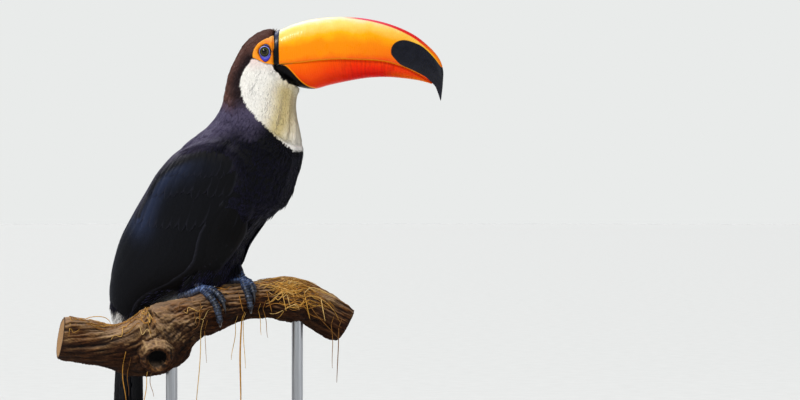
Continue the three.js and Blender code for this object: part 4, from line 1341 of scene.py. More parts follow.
# The upper half: pale along the ridge, orange at the gape, redder under the ridge, black at the tip.
upper = horn("upper_horn", 0.12, 0.14)
lines, wander = horn_surface(upper)
along = upper.attribute("along")
height = upper.attribute("up") + wander.stretch(0.3, 0.7, -0.05, 0.05) + lines * 0.012
# painted highlight: the ramp's top stops turn pale and then near white along the ridge
side_tone = height.ramp(
    (0.0, HORN_ORANGE), (0.16, (255, 142, 0)), (0.42, HORN_AMBER),
    (0.62, HORN_YELLOW), (0.84, HORN_PALE), (0.98, (255, 240, 196)),
)
far_tone = height.ramp((0.0, HORN_SCARLET), (0.3, HORN_ORANGE), (0.62, HORN_AMBER), (0.9, HORN_YELLOW))
tone = upper.mix(along.stretch(0.35, 0.8), side_tone, far_tone)
redder = upper.mix(along.stretch(0.45, 0.64), (236, 66, 96), (226, 28, 22))
redder = upper.mix(along.stretch(0.72, 0.84), redder, (252, 128, 0))
stripe = (upper.attribute("below_top") - along.stretch(0.34, 0.66, 1.1, 2.9)).stretch(0.5, -0.5)
tone = upper.mix(stripe * along.stretch(0.34, 0.42), tone, redder)
edge_line = upper.attribute("rise").stretch(1.5, 0.7) * along.stretch(0.84, 0.76)
tone = upper.mix(edge_line * 0.4, tone, HORN_YELLOW)
black_tone = upper.mix(upper.noise(260, 4), HORN_BLACK, (32, 33, 44))
tone = upper.mix(upper.attribute("to_tip_patch").stretch(0.45, -0.25), tone, black_tone)
# painted sheen: the black band turns slate blue towards its top
band_tone_with_sheen = upper.mix(upper.attribute("up").stretch(0.45, 0.95), HORN_BLACK, BAND_SHEEN_SLATE)
tone = upper.mix(upper.attribute("run").stretch(BASE_BAND + 0.25, BASE_BAND - 0.2), tone, band_tone_with_sheen)
upper.wire("Base Color", tone)

# The lower half: orange at the base, red in the middle, orange again at the end, a black cheek patch.
lower = horn("lower_horn", 0.04, 0.08)
lines, wander = horn_surface(lower)
along = lower.attribute("along")
depth = lower.attribute("up") + wander.stretch(0.3, 0.7, -0.08, 0.08) + lines * 0.03
base_tone = depth.ramp((0.1, (253, 104, 0)), (0.6, (250, 76, 0)), (0.95, (240, 56, 0)))
middle_tone = depth.ramp((0.05, (248, 66, 0)), (0.5, (242, 38, 0)), (0.9, (226, 14, 0)))
end_tone = depth.ramp((0.1, (218, 32, 0)), (0.6, (242, 76, 0)), (0.95, (252, 126, 6)))
tone = lower.mix(along.stretch(0.22, 0.5), base_tone, middle_tone)
tone = lower.mix(along.stretch(0.68, 0.9), tone, end_tone)
tone = lower.mix(lower.attribute("rise").stretch(1.6, 0.8) * 0.35, tone, HORN_AMBER)
streak_at = lower.node("ShaderNodeCombineXYZ", {0: lower.attribute("run"), 1: depth * 2.5})
streaks = lower.noise(0.5, 3, at=streak_at).stretch(0.42, 0.62)
streaks = streaks * along.stretch(0.3, 0.5) * along.stretch(0.92, 0.75)
tone = lower.mix(streaks * 0.3, tone, (150, 4, 0))
to_cheek = lower.attribute("to_cheek_patch")
tone = lower.mix(to_cheek.stretch(1.7, 1.0), tone, HORN_AMBER)
tone = lower.mix(to_cheek.stretch(0.5, 0.1), tone, HORN_BLACK)
lower.wire("Base Color", tone)

for label, stations, made, slot in (
    ("upper", BILL_UPPER, upper, "bill_orange"),
    ("lower", BILL_LOWER, lower, "bill_red"),
):
    half = bill_half(stations, up=label == "upper")
    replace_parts(closed_piece(f"bill_{label}_horn", *half, made.material, slot), f"bill_{label}")


# %% [markdown]
# ## Flight feathers and coverts
#
# The large feathers of wing and tail are few, and each has its own shape, so they are made one by
# one. A vane is a grid along a quill: the quill's stations lie on a chart, and every point of the
# grid is pushed sideways on that chart, so the vane hugs the body. It is a little arched, has a
# raised shaft, splits in its edge where barbs have parted, and a thickness of its own.
#
# On a folded wing the outermost primary lies lowest and each feather further in lies over it. The
# coverts then lie over their roots like tiles, three rows of them, and the soft coat of the
# shoulder hides the roots of the last row.

# %% The vane
VANE_THICK = 0.45
SHAFT_RISE = 0.22
ROOT_WIDTH = 0.35  # of the full width
PATCH_SCALE = PATCH / 14  # map units for each millimetre of a large feather


def vane(chart, quill, half, lift, rng, rows=26, columns=13, blunt=0.82, camber=0.5):
    """A feather on a chart: its points, faces and what its finish needs to know."""
    share = np.sin(np.linspace(0, np.pi / 2, rows))
    centre = through(quill, share * (len(quill) - 1))
    here, along, across, normal = chart_frame(chart, centre[:, 0], centre[:, 1])
    forward = unit(np.gradient(here, axis=0))
    sideways = unit(np.cross(normal, forward))
    tip = np.sqrt(np.maximum(1 - np.clip((share - blunt) / (1 - blunt), 0, 1) ** 2, 0))
    width = half * (ROOT_WIDTH + (1 - ROOT_WIDTH) * ease(share, 0, 0.35)) * np.maximum(tip, 0.04)
    k = np.linspace(-1, 1, columns)
    edge = np.ones((rows, columns))
    for side in (0, -1):
        for row in rng.choice(np.arange(rows // 3, rows - 3), 3, replace=False):
            edge[row, side] = rng.uniform(0.72, 0.92)
    offset = width[:, None] * k * edge
    aa, ab, bb = dot(along, along), dot(along, across), dot(across, across)
    a_side, b_side = dot(along, sideways), dot(across, sideways)
    split = aa * bb - ab**2
    first = centre[:, :1] + offset * ((bb * a_side - ab * b_side) / split)[:, None]
    second = centre[:, 1:] + offset * ((aa * b_side - ab * a_side) / split)[:, None]
    spot, _, _, out = chart_frame(chart, first, second)
    height = np.interp(share, np.linspace(0, 1, len(lift)), lift)[:, None]
    height = height + camber * (1 - k**2) * np.minimum(width / half, 1)[:, None]
    ripple = 0.1 * np.sin(share * rng.uniform(9, 14) + rng.uniform(0, 6))[:, None] * k**2
    shaft = SHAFT_RISE * hump(offset, 0, 0.55) * (1 - share[:, None])
    top = spot + out * (height + ripple + shaft + VANE_THICK / 2)[..., None]
    bottom = spot + out * (height + ripple - VANE_THICK / 2)[..., None]
    count = rows * columns
    faces = grid_faces(rows, columns)
    faces += [[corner + count for corner in face[::-1]] for face in faces]
    rim = [row * columns for row in range(rows)]
    rim += [(rows - 1) * columns + column for column in range(1, columns)]
    rim += [row * columns + columns - 1 for row in range(rows - 2, -1, -1)]
    rim += [column for column in range(columns - 2, 0, -1)]
    faces += [[a, b, b + count, a + count][::-1] for a, b in zip(rim, rim[1:] + rim[:1])]
    barb = [offset, share[:, None] * line_length(here), np.abs(k)]
    barb = np.stack(np.broadcast_arrays(*barb), -1)
    marks = {"barb": np.tile(barb.reshape(-1, 3), (2, 1)), "shade": np.full(2 * count, rng.uniform())}
    spots = np.tile(first.ravel(), 2), np.tile(second.ravel(), 2)
    return np.concatenate([top, bottom]).reshape(-1, 3), faces, marks, spots


def spread(first, last, count):
    """Stations of a row of quills, from the first to the last."""
    first, last = np.asarray(first, float), np.asarray(last, float)
    return [first + (last - first) * share for share in np.linspace(0, 1, count)]


def vane_patch(root_uv, barb):
    """The small patch of the coat's map that a large feather takes, in proportion to its size."""
    return np.clip(root_uv + barb[:, :2] * PATCH_SCALE * (1, -1), 0.002, 0.998)


def gathered(name, feathers):
    """One piece from many feathers: points, faces, marks and places on the map of each."""
    points, faces = joined(feathers)
    patches = np.concatenate([feather[3] for feather in feathers])
    mesh = plain_mesh(name, points, faces, gathered_marks(feathers), patches)
    return make_piece(name, outward(mesh), VANE_FINISH, "black_feather")


# %% The folded wing, feather by feather
WING_ROWS = [
    # name, count, half width, lift at root, middle and tip, step of lift,
    # first quill and last quill (u, w)
    (
        "primaries", 8, 7.5, (0.2, 0.5, 0.6), 0.12,
        [(40, 268), (27, 236), (-5, 200), (-33, 176)],
        [(26, 274), (-4, 226), (-48, 184), (-98, 149)],
    ),
    (
        "secondaries", 10, 8.5, (0.2, 0.9, 1.1), 0.09,
        [(22, 280), (-12, 232), (-58, 188), (-104, 152)],
        [(-30, 302), (-66, 252), (-104, 202), (-128, 171)],
    ),
    (
        "tertials", 4, 11, (0.3, 1.5, 1.7), 0.1,
        [(-36, 304), (-68, 262), (-99, 216), (-122, 178)],
        [(-56, 310), (-86, 276), (-113, 238), (-129, 202)],
    ),
    (
        "greater_coverts", 12, 8.5, (-0.6, 1.0, 1.8), 0.05,
        [(38, 296), (33, 270), (22, 243)],
        [(-54, 304), (-71, 276), (-84, 249)],
    ),
    (
        "median_coverts", 12, 8, (-0.9, 0.9, 2.0), 0.05,
        [(36, 318), (34, 300), (27, 280)],
        [(-44, 318), (-58, 300), (-71, 279)],
    ),
    (
        "lesser_coverts", 14, 6.5, (-1.2, 0.7, 2.0), 0.03,
        [(30, 330), (31, 316), (28, 301)],
        [(-38, 328), (-48, 314), (-60, 297)],
    ),
]


def chart_colours(spots):
    """Colours of the coat at places of the body chart, each worked out where it is."""
    place, angle = spots
    turn = through(RIBS, np.clip(place, 0, LAST_RIB))[:, 5]
    u, _, w = bird_sides(body_chart(place, angle), turn)
    return plumage(place, angle, u, w, large=True)


def body_patch(stations, barb):
    place, angle = stations[0]
    return vane_patch(np.array([angle / (2 * np.pi) + 0.5, 1 - place / LAST_RIB]), barb)


def wing_feathers(side):
    """Every large feather of one wing."""
    feathers = []
    rng = np.random.default_rng(11)
    for name, count, half, lift, step, first, last in WING_ROWS:
        small = "coverts" in name
        shape = {"camber": 0.75, "blunt": 0.42} if small else {}
        for number, line in enumerate(spread(first, last, count)):
            share = np.linspace(0, 1, len(line))[:, None]
            jitter = rng.uniform(-1.3, 1.3, (len(line), 2)) * share
            tip_jitter = rng.uniform(-3, 3) * small
            line = line + jitter + (0, tip_jitter) * share**2
            stations = [(place, -side * angle) for place, angle in (on_side(*station) for station in line)]
            sunk = 0.9 * (1 - ease(number / 4.0, 0, 1)) * small
            risen = [height + step * number - sunk for height in lift]
            wide = half * rng.uniform(0.92, 1.08)
            points, faces, marks, spots = vane(body_chart, stations, wide, risen, rng, **shape)
            marks["coat_colour"] = opaque(chart_colours(spots))
            feathers.append((points, faces, marks, body_patch(stations, marks["barb"])))
        print(name, "on side", side, "done:", len(feathers), "feathers so far")
    return feathers


flight = Finish(
    "flight_feathers", Roughness=0.5, Specular_IOR_Level=0.09,
    Sheen_Weight=0.05, Sheen_Roughness=0.35, Sheen_Tint=with_alpha((110, 124, 190)),
)
across, along, outwards = flight.attribute("barb", "Vector").parts()
slant = along - across.maths("ABSOLUTE") * 1.3
streaks = flight.noise(1.4, 3, at=flight.node("ShaderNodeCombineXYZ", {0: slant, 1: across * 0.05}))
shade = flight.attribute("shade").stretch(0, 1, 0.8, 1.2) * streaks.stretch(0.3, 0.7, 0.7, 1.4)
tone = flight.stained(flight.attribute("coat_colour", "Color"), flight.grey(shade))
# the vanes' outer edges are made paler, towards a blue grey
pale_vane_edge = outwards.stretch(0.55, 1.0) * streaks.stretch(0.3, 0.6, 0.2, 0.75)
flight.wire("Base Color", flight.mix(pale_vane_edge, tone, (44, 44, 54)))
flight.bump((slant * 7.5).waves(), 0.06)
flight.bump(streaks, 0.12)
VANE_FINISH = flight.material

for label, side in SIDES:
    gathered(f"wing_feathers_{label}", wing_feathers(side))

# %% [markdown]
# ## The tail
#
# Ten tail feathers lie in a narrow, slightly arched fan, the middle pair on top and longest. They
# ride on a chart of their own: `share` runs down the tail, `across` from its right edge (-1) to its
# left (1). White coverts hide their roots above and red ones below.

# %% Tail feathers and tail coverts
TAIL_LENGTH = 144
TAIL_LINE = [(-113, 174), (-121.5, 110), (-119.5, 30)]
TAIL_HALF = (18, 30)
TAIL_SPREAD = 0.8
TAIL_ARCH = 4
TAIL_FEATHERS = 10
TAIL_ROUNDED = 12
TAIL_BLACK = linear(11, 11, 15)


def tail_chart(share, across):
    share, across = np.broadcast_arrays(np.asarray(share, float), np.asarray(across, float))
    start, bend, end = (np.array(point, float) for point in TAIL_LINE)
    at = share[..., None]
    middle = start * (1 - at) ** 2 + 2 * bend * at * (1 - at) + end * at**2
    down = unit(2 * (bend - start) * (1 - at) + 2 * (end - bend) * at)
    half = TAIL_HALF[0] + (TAIL_HALF[1] - TAIL_HALF[0]) * np.maximum(share, 0) ** TAIL_SPREAD
    arch = -TAIL_ARCH * across**2
    u, w = middle[..., 0] + down[..., 1] * arch, middle[..., 1] - down[..., 0] * arch
    return bird_point(u, across * half, w)


tail_feathers = []
tail_rng = np.random.default_rng(5)
for number in sorted(range(TAIL_FEATHERS), key=lambda item: -abs(2 * item + 1 - TAIL_FEATHERS)):
    across = (2 * number + 1) / TAIL_FEATHERS - 1
    end = 1 - TAIL_ROUNDED * across**2 / TAIL_LENGTH
    quill = [(0.02, across * 0.55), (end / 2, across * 0.82), (end - 0.01, across * 0.86)]
    rise = 1.9 * (1 - abs(across)) - 0.9
    lift = (rise * 0.4, rise, rise)
    points, faces, marks, _ = vane(
        tail_chart, quill, 9.5, lift, tail_rng, rows=40, columns=15, blunt=0.9, camber=0.45
    )
    marks["coat_colour"] = opaque(np.tile(TAIL_BLACK, (len(points), 1)))
    root = np.array([0.5 + across * 0.08, 0.055])
    tail_feathers.append((points, faces, marks, vane_patch(root, marks["barb"])))
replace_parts(gathered("tail_feathers", tail_feathers), "tail")


# %% [markdown]
# ## A chart of the perch
#
# The toes lie on the bark and the fibres hang from it, so the branch has a chart as well: `share`
# runs along it from the thick end (0) to the thin one (1), and `angle` runs round it from the top,
# towards the side that the bird's breast is turned to.

# %% The perch's stations
PERCH_SWING = 14
PERCH = [  # x, z, radius
    (-175, 133, 21.5),
    (-138, 127, 23),
    (-109, 125.5, 29),
    (-93, 125, 33.5),
    (-79, 126.5, 33),
    (-67, 132, 29.5),
    (-57, 140, 25),
    (-47, 148, 22),
    (-33, 155.5, 20.8),
    (-10, 163.5, 20.3),
    (14, 169.5, 18.4),
    (39, 172, 20),
    (62, 169.5, 22.2),
    (84, 163, 20),
    (118, 144, 19),
]


def perch_middle(share):
    row = through(PERCH, np.asarray(share, float) * (len(PERCH) - 1))
    return np.stack([row[..., 0], row[..., 0] * math.tan(math.radians(PERCH_SWING)), row[..., 1]], -1)


def perch_frame(share):
    """The middle line's points, and its directions ahead, to the front and up."""
    share = np.asarray(share, float)
    ahead = unit(perch_middle(share + 0.004) - perch_middle(share - 0.004))
    front = unit(np.cross(ahead, (0.0, 0.0, 1.0)))
    return perch_middle(share), ahead, front, unit(np.cross(front, ahead))


def perch_point(share, angle, lift=0.0):
    """Points on the bark's plain form, or lifted off it."""
    share, angle = np.broadcast_arrays(np.asarray(share, float), np.asarray(angle, float))
    middle, _, front, up = perch_frame(share)
    radius = through(PERCH, share * (len(PERCH) - 1))[..., 2]
    lumps = np.sin(3 * angle + 31 * share) + 0.7 * np.sin(5 * angle - 53 * share)
    out = (radius * (1 + 0.035 * lumps) + lift)[..., None]
    return middle + up * out * np.cos(angle)[..., None] + front * out * np.sin(angle)[..., None]


def perch_share(x, degrees=None, lift=0.0):
    """The share of the perch at which its middle, or a line along its bark, passes x."""
    shares = np.linspace(0, 1, 1200)
    line = perch_middle(shares) if degrees is None else perch_point(shares, math.radians(degrees), lift)
    return float(np.interp(x, line[:, 0], shares))


def perch_at_x(x, degrees, lift=0.0):
    return perch_point(perch_share(x, degrees, lift), math.radians(degrees), lift)


PERCH_LENGTH = line_length(perch_middle(np.linspace(0, 1, 60)))
print("the perch is", round(PERCH_LENGTH), "mm long")

# %% [markdown]
# ## Feet
#
# A toucan has two toes ahead and two behind, as on many birds that climb. Toes carry a row of
# scutes on top, each a plate that overlaps the next, and soft pads below. A toe here is a tube
# along its line over the bark, with enough rows for every scute to have its step, and its claw is
# a curved, narrow cone.

# %% Toes and claws
FOOT_SEAT = 14
FOOT_OVER_BARK = 5.4
TARSUS_RADIUS = 4.368
TARSUS_SCUTE = 3.4
TARSUS_SLOPE = 50
TARSUS_SHOWS = 30
TOE_RADIUS = (4.1, 3.2)
CLAW_RADIUS = (2.9, 0.35)
CLAW_LENGTH = 12.5
CLAW_BURIED = 2.5
CLAW_SIDES = 18
HORN_OVERLAP = 1.2
TOE_SIDES = 24
TOE_OVER_BARK = 4.3
TIP_OVER_BARK = 0.9
SCUTE = 2.9
SCUTE_ROWS = 9
FEET = {
    "right": {
        "x": -31,
        "toes": [
            [(9.5, 50), (16, 76), (18.5, 98), (20, 120), (20, 148)],
            [(8.5, 30), (16, 46), (21.5, 64), (24.5, 84), (26, 108)],
            [(-8, 8), (-16, -1), (-22, -22), (-25, -46), (-26, -72)],
            [(-2, -12), (-3.5, -36), (-4, -60), (-4, -88)],
        ],
    },
    "left": {
        "x": 12,
        "toes": [
            [(2, 40), (5, 64), (7.5, 88), (8.5, 108), (8.5, 138)],
            [(6, 32), (10, 50), (12, 72), (12.5, 102)],
            [(-7, 4), (-13, -12), (-18, -34), (-20, -58), (-20.5, -88)],
            [(-1, -14), (-2, -40), (-2, -64), (-1.5, -94)],
        ],
    },
}


def foot_middle(foot):
    return perch_at_x(foot["x"], FOOT_SEAT, FOOT_OVER_BARK)


def even_line(stations, step):
    """Points a step apart along a smooth line, and how far along it each one is."""
    dense = through(stations, np.linspace(0, len(stations) - 1, 400))
    run = np.r_[0, np.cumsum(np.linalg.norm(np.diff(dense, axis=0), axis=1))]
    count = max(int(run[-1] / step), 4) + 1
    at = np.linspace(0, run[-1], count)
    return np.stack([np.interp(at, run, dense[:, axis]) for axis in range(3)], -1), at


def toe_stations(foot, toe):
    points = [foot_middle(foot)]
    for index, (ahead, degrees) in enumerate(toe):
        lift = TIP_OVER_BARK if index == len(toe) - 1 else TOE_OVER_BARK
        points.append(perch_at_x(foot["x"] + ahead, degrees, lift))
    return np.array(points)


def off_the_bark(points):
    """Arrows from the perch's middle line out to each point."""
    shares = np.interp(points[:, 0], perch_middle(np.linspace(0, 1, 300))[:, 0], np.linspace(0, 1, 300))
    return unit(points - perch_middle(shares))


def tube(points, radius, upward):
    """A closed tube with a radius for each row and turn; turn 0 looks the way of upward."""
    forward = unit(np.gradient(points, axis=0))
    up = unit(upward - forward * dot(upward, forward)[:, None])
    side = np.cross(forward, up)
    turn = full_turn(radius.shape[1])
    ring = points[:, None] + up[:, None] * (radius * np.cos(turn))[..., None]
    ring = ring + side[:, None] * (radius * np.sin(turn))[..., None]
    return ring.reshape(-1, 3), grid_faces(*radius.shape, wrap=True, capped=True)


def scuted(points, at, radius, upward, scute=SCUTE):
    """A toe or tarsus: scutes on top, pads below."""
    turn = full_turn(TOE_SIDES)
    along = at[:, None]
    phase = (along / scute) % 1
    step = phase**1.6
    gap = hump(phase, 0.02, 0.07) + hump(phase, 1.0, 0.05)
    top = ease(np.cos(turn), -0.15, 0.35)
    below = ease(-np.cos(turn), 0.1, 0.9)
    plates = 1 + (0.15 * step - 0.14 * gap) * top
    pads = 1 + 0.16 * np.sin(along / 7.5) ** 2 * below
    beads = 1 + 0.05 * np.sin(along * 4.1) * np.sin(turn * 7) * (1 - top)
    blunt = np.sqrt(np.clip((at[-1] - along) / 2.2, 0.02, 1))
    marks = {
        "gap": (gap * ease(np.cos(turn), -0.2, 0.3)).ravel(),
        "plate": np.repeat(step, TOE_SIDES),
        "top": np.tile(np.cos(turn), len(points)),
        "from_ankle": np.repeat(at, TOE_SIDES),
    }
    return *tube(points, radius[:, None] * plates * pads * beads * blunt, upward), marks


def foot_parts(foot):
    """The tarsus and toes of a foot, and its claws, each a part with points and faces."""
    skin_parts, claw_parts = [], []
    middle = foot_middle(foot)
    yaw = math.radians(BODY_YAW)
    slope = math.radians(TARSUS_SLOPE)
    up_leg = np.array([-math.cos(slope) * math.cos(yaw), -math.cos(slope) * math.sin(yaw), math.sin(slope)])
    shin = np.array([middle + up_leg * TARSUS_SHOWS, middle + up_leg * 6, middle + up_leg * 1.0])
    points, at = even_line(shin, SCUTE / SCUTE_ROWS)
    front = np.tile((math.sin(slope), 0, math.cos(slope)), (len(points), 1))
    skin_parts.append(scuted(points, at, np.full(len(points), TARSUS_RADIUS), front, TARSUS_SCUTE))
    skin_parts[0][2]["from_ankle"] *= 0
    for toe in foot["toes"]:
        line, at = even_line(toe_stations(foot, toe), SCUTE / SCUTE_ROWS)
        toe_end = at[-1] - CLAW_LENGTH + HORN_OVERLAP
        keep = at <= toe_end
        share = at[keep] / toe_end
        joint = 1 + 0.07 * np.cos(share * 2 * np.pi * 3)
        radius = (TOE_RADIUS[0] + (TOE_RADIUS[1] - TOE_RADIUS[0]) * share) * joint
        skin_parts.append(scuted(line[keep], at[keep], radius, off_the_bark(line[keep])))
        claw_line = line[at >= toe_end - CLAW_BURIED]
        claw_share = np.linspace(0, 1, len(claw_line))
        hook = off_the_bark(claw_line)
        claw_line = claw_line + hook * (1.3 * np.sin(np.pi * claw_share) - 0.4 * claw_share)[:, None]
        width = CLAW_RADIUS[0] + (CLAW_RADIUS[1] - CLAW_RADIUS[0]) * claw_share**1.15
        narrow = 1.0 - 0.28 * np.sin(full_turn(CLAW_SIDES)) ** 2 + 0.05 * np.cos(full_turn(CLAW_SIDES))
        claw_parts.append(tube(claw_line, width[:, None] * narrow, hook))
    return skin_parts, claw_parts


scaly = Finish("scaly_skin", Roughness=0.42, Specular_IOR_Level=0.4)
patchy = scaly.noise(330, 4)
plate_tone = patchy.ramp((0.34, (9, 12, 19)), (0.52, (20, 26, 39)), (0.72, (72, 88, 118)))
# painted highlight: the tarsus and the first millimetres of each toe are a lighter blue
ankle_highlight_tone = patchy.ramp((0.34, (24, 34, 58)), (0.52, (58, 80, 128)), (0.72, (112, 142, 192)))
plate_tone = scaly.mix(scaly.attribute("from_ankle").stretch(5, 18), ankle_highlight_tone, plate_tone)
under_tone = scaly.mix(patchy, (28, 29, 38), (60, 58, 68))
tone = scaly.mix(scaly.attribute("top").stretch(-0.3, 0.2), under_tone, plate_tone)
# the raised end of each scute is paler, partly its own tone and partly a painted highlight
plate_edge_highlight = scaly.attribute("plate").stretch(0.45, 0.95) * patchy.stretch(0.3, 0.6)
tone = scaly.mix(plate_edge_highlight * 0.45, tone, (136, 146, 174))
tone = scaly.mix(scaly.attribute("gap").stretch(0.05, 0.4), tone, (8, 9, 16))
scaly.wire("Base Color", tone)
scaly.bump(scaly.noise(1500, 3), 0.12)

claw_finish = Finish("claw_horn", Roughness=0.28, Coat_Weight=0.3, Coat_Roughness=0.15)
claw_grain = claw_finish.noise(700, 3)
claw_finish.wire("Base Color", claw_finish.mix(claw_grain, (14, 14, 18), (42, 42, 50)))
claw_finish.bump(claw_grain, 0.05)

for label, foot in FEET.items():
    skin_parts, claw_parts = foot_parts(foot)
    skin_shape = *joined(skin_parts), gathered_marks(skin_parts)
    foot_piece = closed_piece(f"foot_{label}_skin", *skin_shape, scaly.material, "foot_skin")
    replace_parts(foot_piece, f"foot_{label}")
    for number, claw_part in enumerate(claw_parts, 1):
        name = f"claw_{label}_{number}"
        claw = closed_piece(f"{name}_horn", *claw_part, None, claw_finish.material, "claw_horn")
        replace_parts(claw, name)

# %% [markdown]
# ## Bark
#
# The branch is an old, dry one. Its bark is fibre that runs along the wood and has worn into long
# ridges, with darker hollows between them, and a stub where a side branch broke away. The mesh
# carries all of this as displacement: long noise stretched along the branch, ridged so that crests
# are sharp. The finish adds the colours: a painted highlight on top, painted shade below, and
# darker grooves.

# %% The branch's mesh
BARK_ROWS = 560
BARK_ROUND = 168
KNOT_X = -84
KNOT_TILT = 20
KNOT_PROFILE = [  # radius, height over the bark
    (19, -9), (16.5, -2), (14.6, 3), (13.6, 6.2), (12.0, 7.2), (10.2, 6.4), (8.4, 3.6), (7.2, -0.5),
    (4.5, -3.2), (0.6, -3.8),
]
KNOT_ROUND = 96
END_RINGS = 14


def wavy(x, y, z, octaves=3, rough=0.5, ridged=False):
    """Layered noise at one point, from -1 to 1, or from 0 to 1 with sharp crests."""
    total, weight, size = 0.0, 1.0, 0.0
    for _ in range(octaves):
        value = noise.noise(Vector((x, y, z)))
        total += weight * ((1 - abs(value) * 2) if ridged else value)
        size += weight
        weight *= rough
        x, y, z = x * 2.1 + 7, y * 2.1 + 3, z * 2.1 + 5
    return total / size


def bark_swell(x, from_top):
    """How far the top of the branch stands out at its knee, or sinks at its dip."""
    return hump(from_top, 0, 0.9) * (8.5 * hump(x, -61, 17) - 7.5 * hump(x, -120, 17))


knot_share = perch_share(KNOT_X)
knot_angle = math.radians(90 + KNOT_TILT)
knot_root = perch_middle(knot_share)
knot_surface = perch_point(knot_share, knot_angle)
knot_way = unit(knot_surface - knot_root)
knot_reach = float(np.linalg.norm(knot_surface - knot_root))

shares = np.linspace(0, 1, BARK_ROWS)
angles = full_turn(BARK_ROUND)
share_grid, angle_grid = np.meshgrid(shares, angles, indexing="ij")
bark_normals = unit(perch_point(share_grid, angle_grid, 1.0) - perch_point(share_grid, angle_grid))
relief = np.zeros_like(share_grid)
perch_x = perch_middle(shares)[:, 0]
angle_from_top = np.minimum(angles, 2 * np.pi - angles)
groove = np.zeros_like(share_grid)
for row, share in enumerate(shares):
    twist = 0.9 * math.sin(share * 5) + share * 1.5
    for column, angle in enumerate(angles):
        x, y = math.cos(angle + twist), math.sin(angle + twist)
        ridges = wavy(x * 3.4, y * 3.4, share * 7, 3, 0.55, ridged=True)
        fibre = wavy(x * 10, y * 10, share * 16, 2, 0.6, ridged=True)
        crumble = wavy(x * 9, y * 9, share * 70, 2, 0.5)
        broad = wavy(x * 1.1, y * 1.1, share * 11 + 20, 2)
        groove[row, column] = 0.5 * ridges + 0.35 * fibre + 0.3 * crumble
        coarse = 2.3 * ridges + 2.6 * broad + bark_swell(perch_x[row], angle_from_top[column])
        relief[row, column] = coarse + 1.2 * fibre + 0.7 * crumble - 1.6
bark_points = perch_point(share_grid, angle_grid)
from_knot = bark_points - knot_root
off_axis = np.linalg.norm(from_knot - (from_knot @ knot_way)[..., None] * knot_way, axis=-1)
facing = (from_knot @ knot_way) > 0
socket = facing * (1 - ease(off_axis, 9, 15))
relief = relief * (1 - socket) - 7 * socket
end_fade = ease(np.minimum(share_grid, 1 - share_grid), 0.0, 0.012)
relief = relief * (0.6 + 0.4 * end_fade) - 0.8 * (1 - end_fade)
bark_points = bark_points + bark_normals * relief[..., None]


def closed_branch():
    """The bark with its two sawn ends, as one closed grid from end to end."""
    caps = []
    for row in (0, -1):
        middle = perch_middle(shares[row])
        arms = bark_points[row] - middle
        caps.append([middle + arms * ring / END_RINGS for ring in range(1, END_RINGS + 1)])
    points = np.array([*caps[0], *bark_points[1:-1], *caps[1][::-1]])

    def from_end_to_end(cap, between):
        """Marks that run from pith to rim, over the bark, and from rim to pith."""
        cap = np.repeat(cap[:, None], BARK_ROUND, axis=1)
        return np.concatenate([cap, between, cap[::-1]]).ravel()

    inner_groove = groove[1:-1]
    marks = {
        "groove": from_end_to_end(np.arange(END_RINGS) / END_RINGS - 1, inner_groove),
        "sawn": from_end_to_end(np.ones(END_RINGS), 0 * inner_groove),
        "from_pith": from_end_to_end(np.linspace(1 / END_RINGS, 1, END_RINGS), 0 * inner_groove + 1),
    }
    return points.reshape(-1, 3), grid_faces(len(points), BARK_ROUND, wrap=True, capped=True), marks


def knot_stub():
    """The stub of a lost side branch: a ring of healed bark round a rotten hollow."""
    profile = through(KNOT_PROFILE, np.linspace(0, len(KNOT_PROFILE) - 1, 60))
    turn = full_turn(KNOT_ROUND)
    side_way = unit(np.cross(knot_way, (0.0, 0.0, 1.0)))
    up_way = np.cross(side_way, knot_way)
    points, depth = [], []
    for radius, height in profile:
        for angle in turn:
            x, y = math.cos(angle), math.sin(angle)
            rough = wavy(x * 2.2, y * 2.2, radius * 0.25, 3, 0.6, ridged=True)
            reach = radius * (1 + 0.12 * rough + 0.05 * math.sin(3 * angle))
            level = height + 1.2 * rough * ease(radius, 3, 12) - 0.8
            out = knot_way * (knot_reach + level) + side_way * reach * x + up_way * reach * y
            points.append(knot_root + out)
            depth.append(rough - 1.5 * float(radius < 8.6 and height < 5))
    depth = np.array(depth)
    marks = {"groove": depth, "sawn": 0 * depth, "from_pith": 0 * depth + 1}
    return points, grid_faces(len(profile), KNOT_ROUND, wrap=True, capped=True), marks


bark = Finish("bark", Roughness=0.85, Specular_IOR_Level=0.2)
streak = bark.noise(6, 5, 0.65, drawn=(14, 90, 90), turned=(0, 0, math.radians(-PERCH_SWING)))
patchy = bark.noise(34, 4)
depth = bark.attribute("groove") * 0.75 + streak * 0.75 - 0.15
bark_tone = depth.ramp(
    (0.0, (12, 8, 6)), (0.26, (38, 26, 18)), (0.46, (78, 56, 36)),
    (0.66, (128, 98, 62)), (0.88, (188, 156, 110)),
)
bark_tone = bark.mix(patchy.stretch(0.4, 0.65), bark_tone, bark.stained(bark_tone, (214, 172, 104)))
facing_up = bark.node("ShaderNodeNewGeometry", output="Normal").parts()[2]
# painted highlight: bark that faces up is made paler; painted shade: bark that faces down is made darker
painted_top_highlight = bark.mix(facing_up.stretch(0.25, 0.95) * 0.36, bark_tone, (198, 164, 134))
painted_shade_below = bark.mix(facing_up.stretch(0.7, -0.1), painted_top_highlight, bark.stained(bark_tone, (124, 104, 96)))
year_rings = ((bark.attribute("from_pith") + patchy * 0.12) * 95).waves()
sawn_tone = bark.mix(year_rings, (176, 138, 92), (132, 94, 58))
sawn_tone = bark.mix(bark.attribute("from_pith").stretch(0.88, 0.97), sawn_tone, (58, 38, 24))
bark.wire("Base Color", bark.mix(bark.attribute("sawn"), painted_shade_below, sawn_tone))
bark.bump(streak, 0.9)
bark.bump(bark.noise(500, 4), 0.3)

branch = closed_piece("branch_bark", *closed_branch(), bark.material, "bark")
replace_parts(branch, "perch")
closed_piece("branch_knot", *knot_stub(), bark.material, "bark")


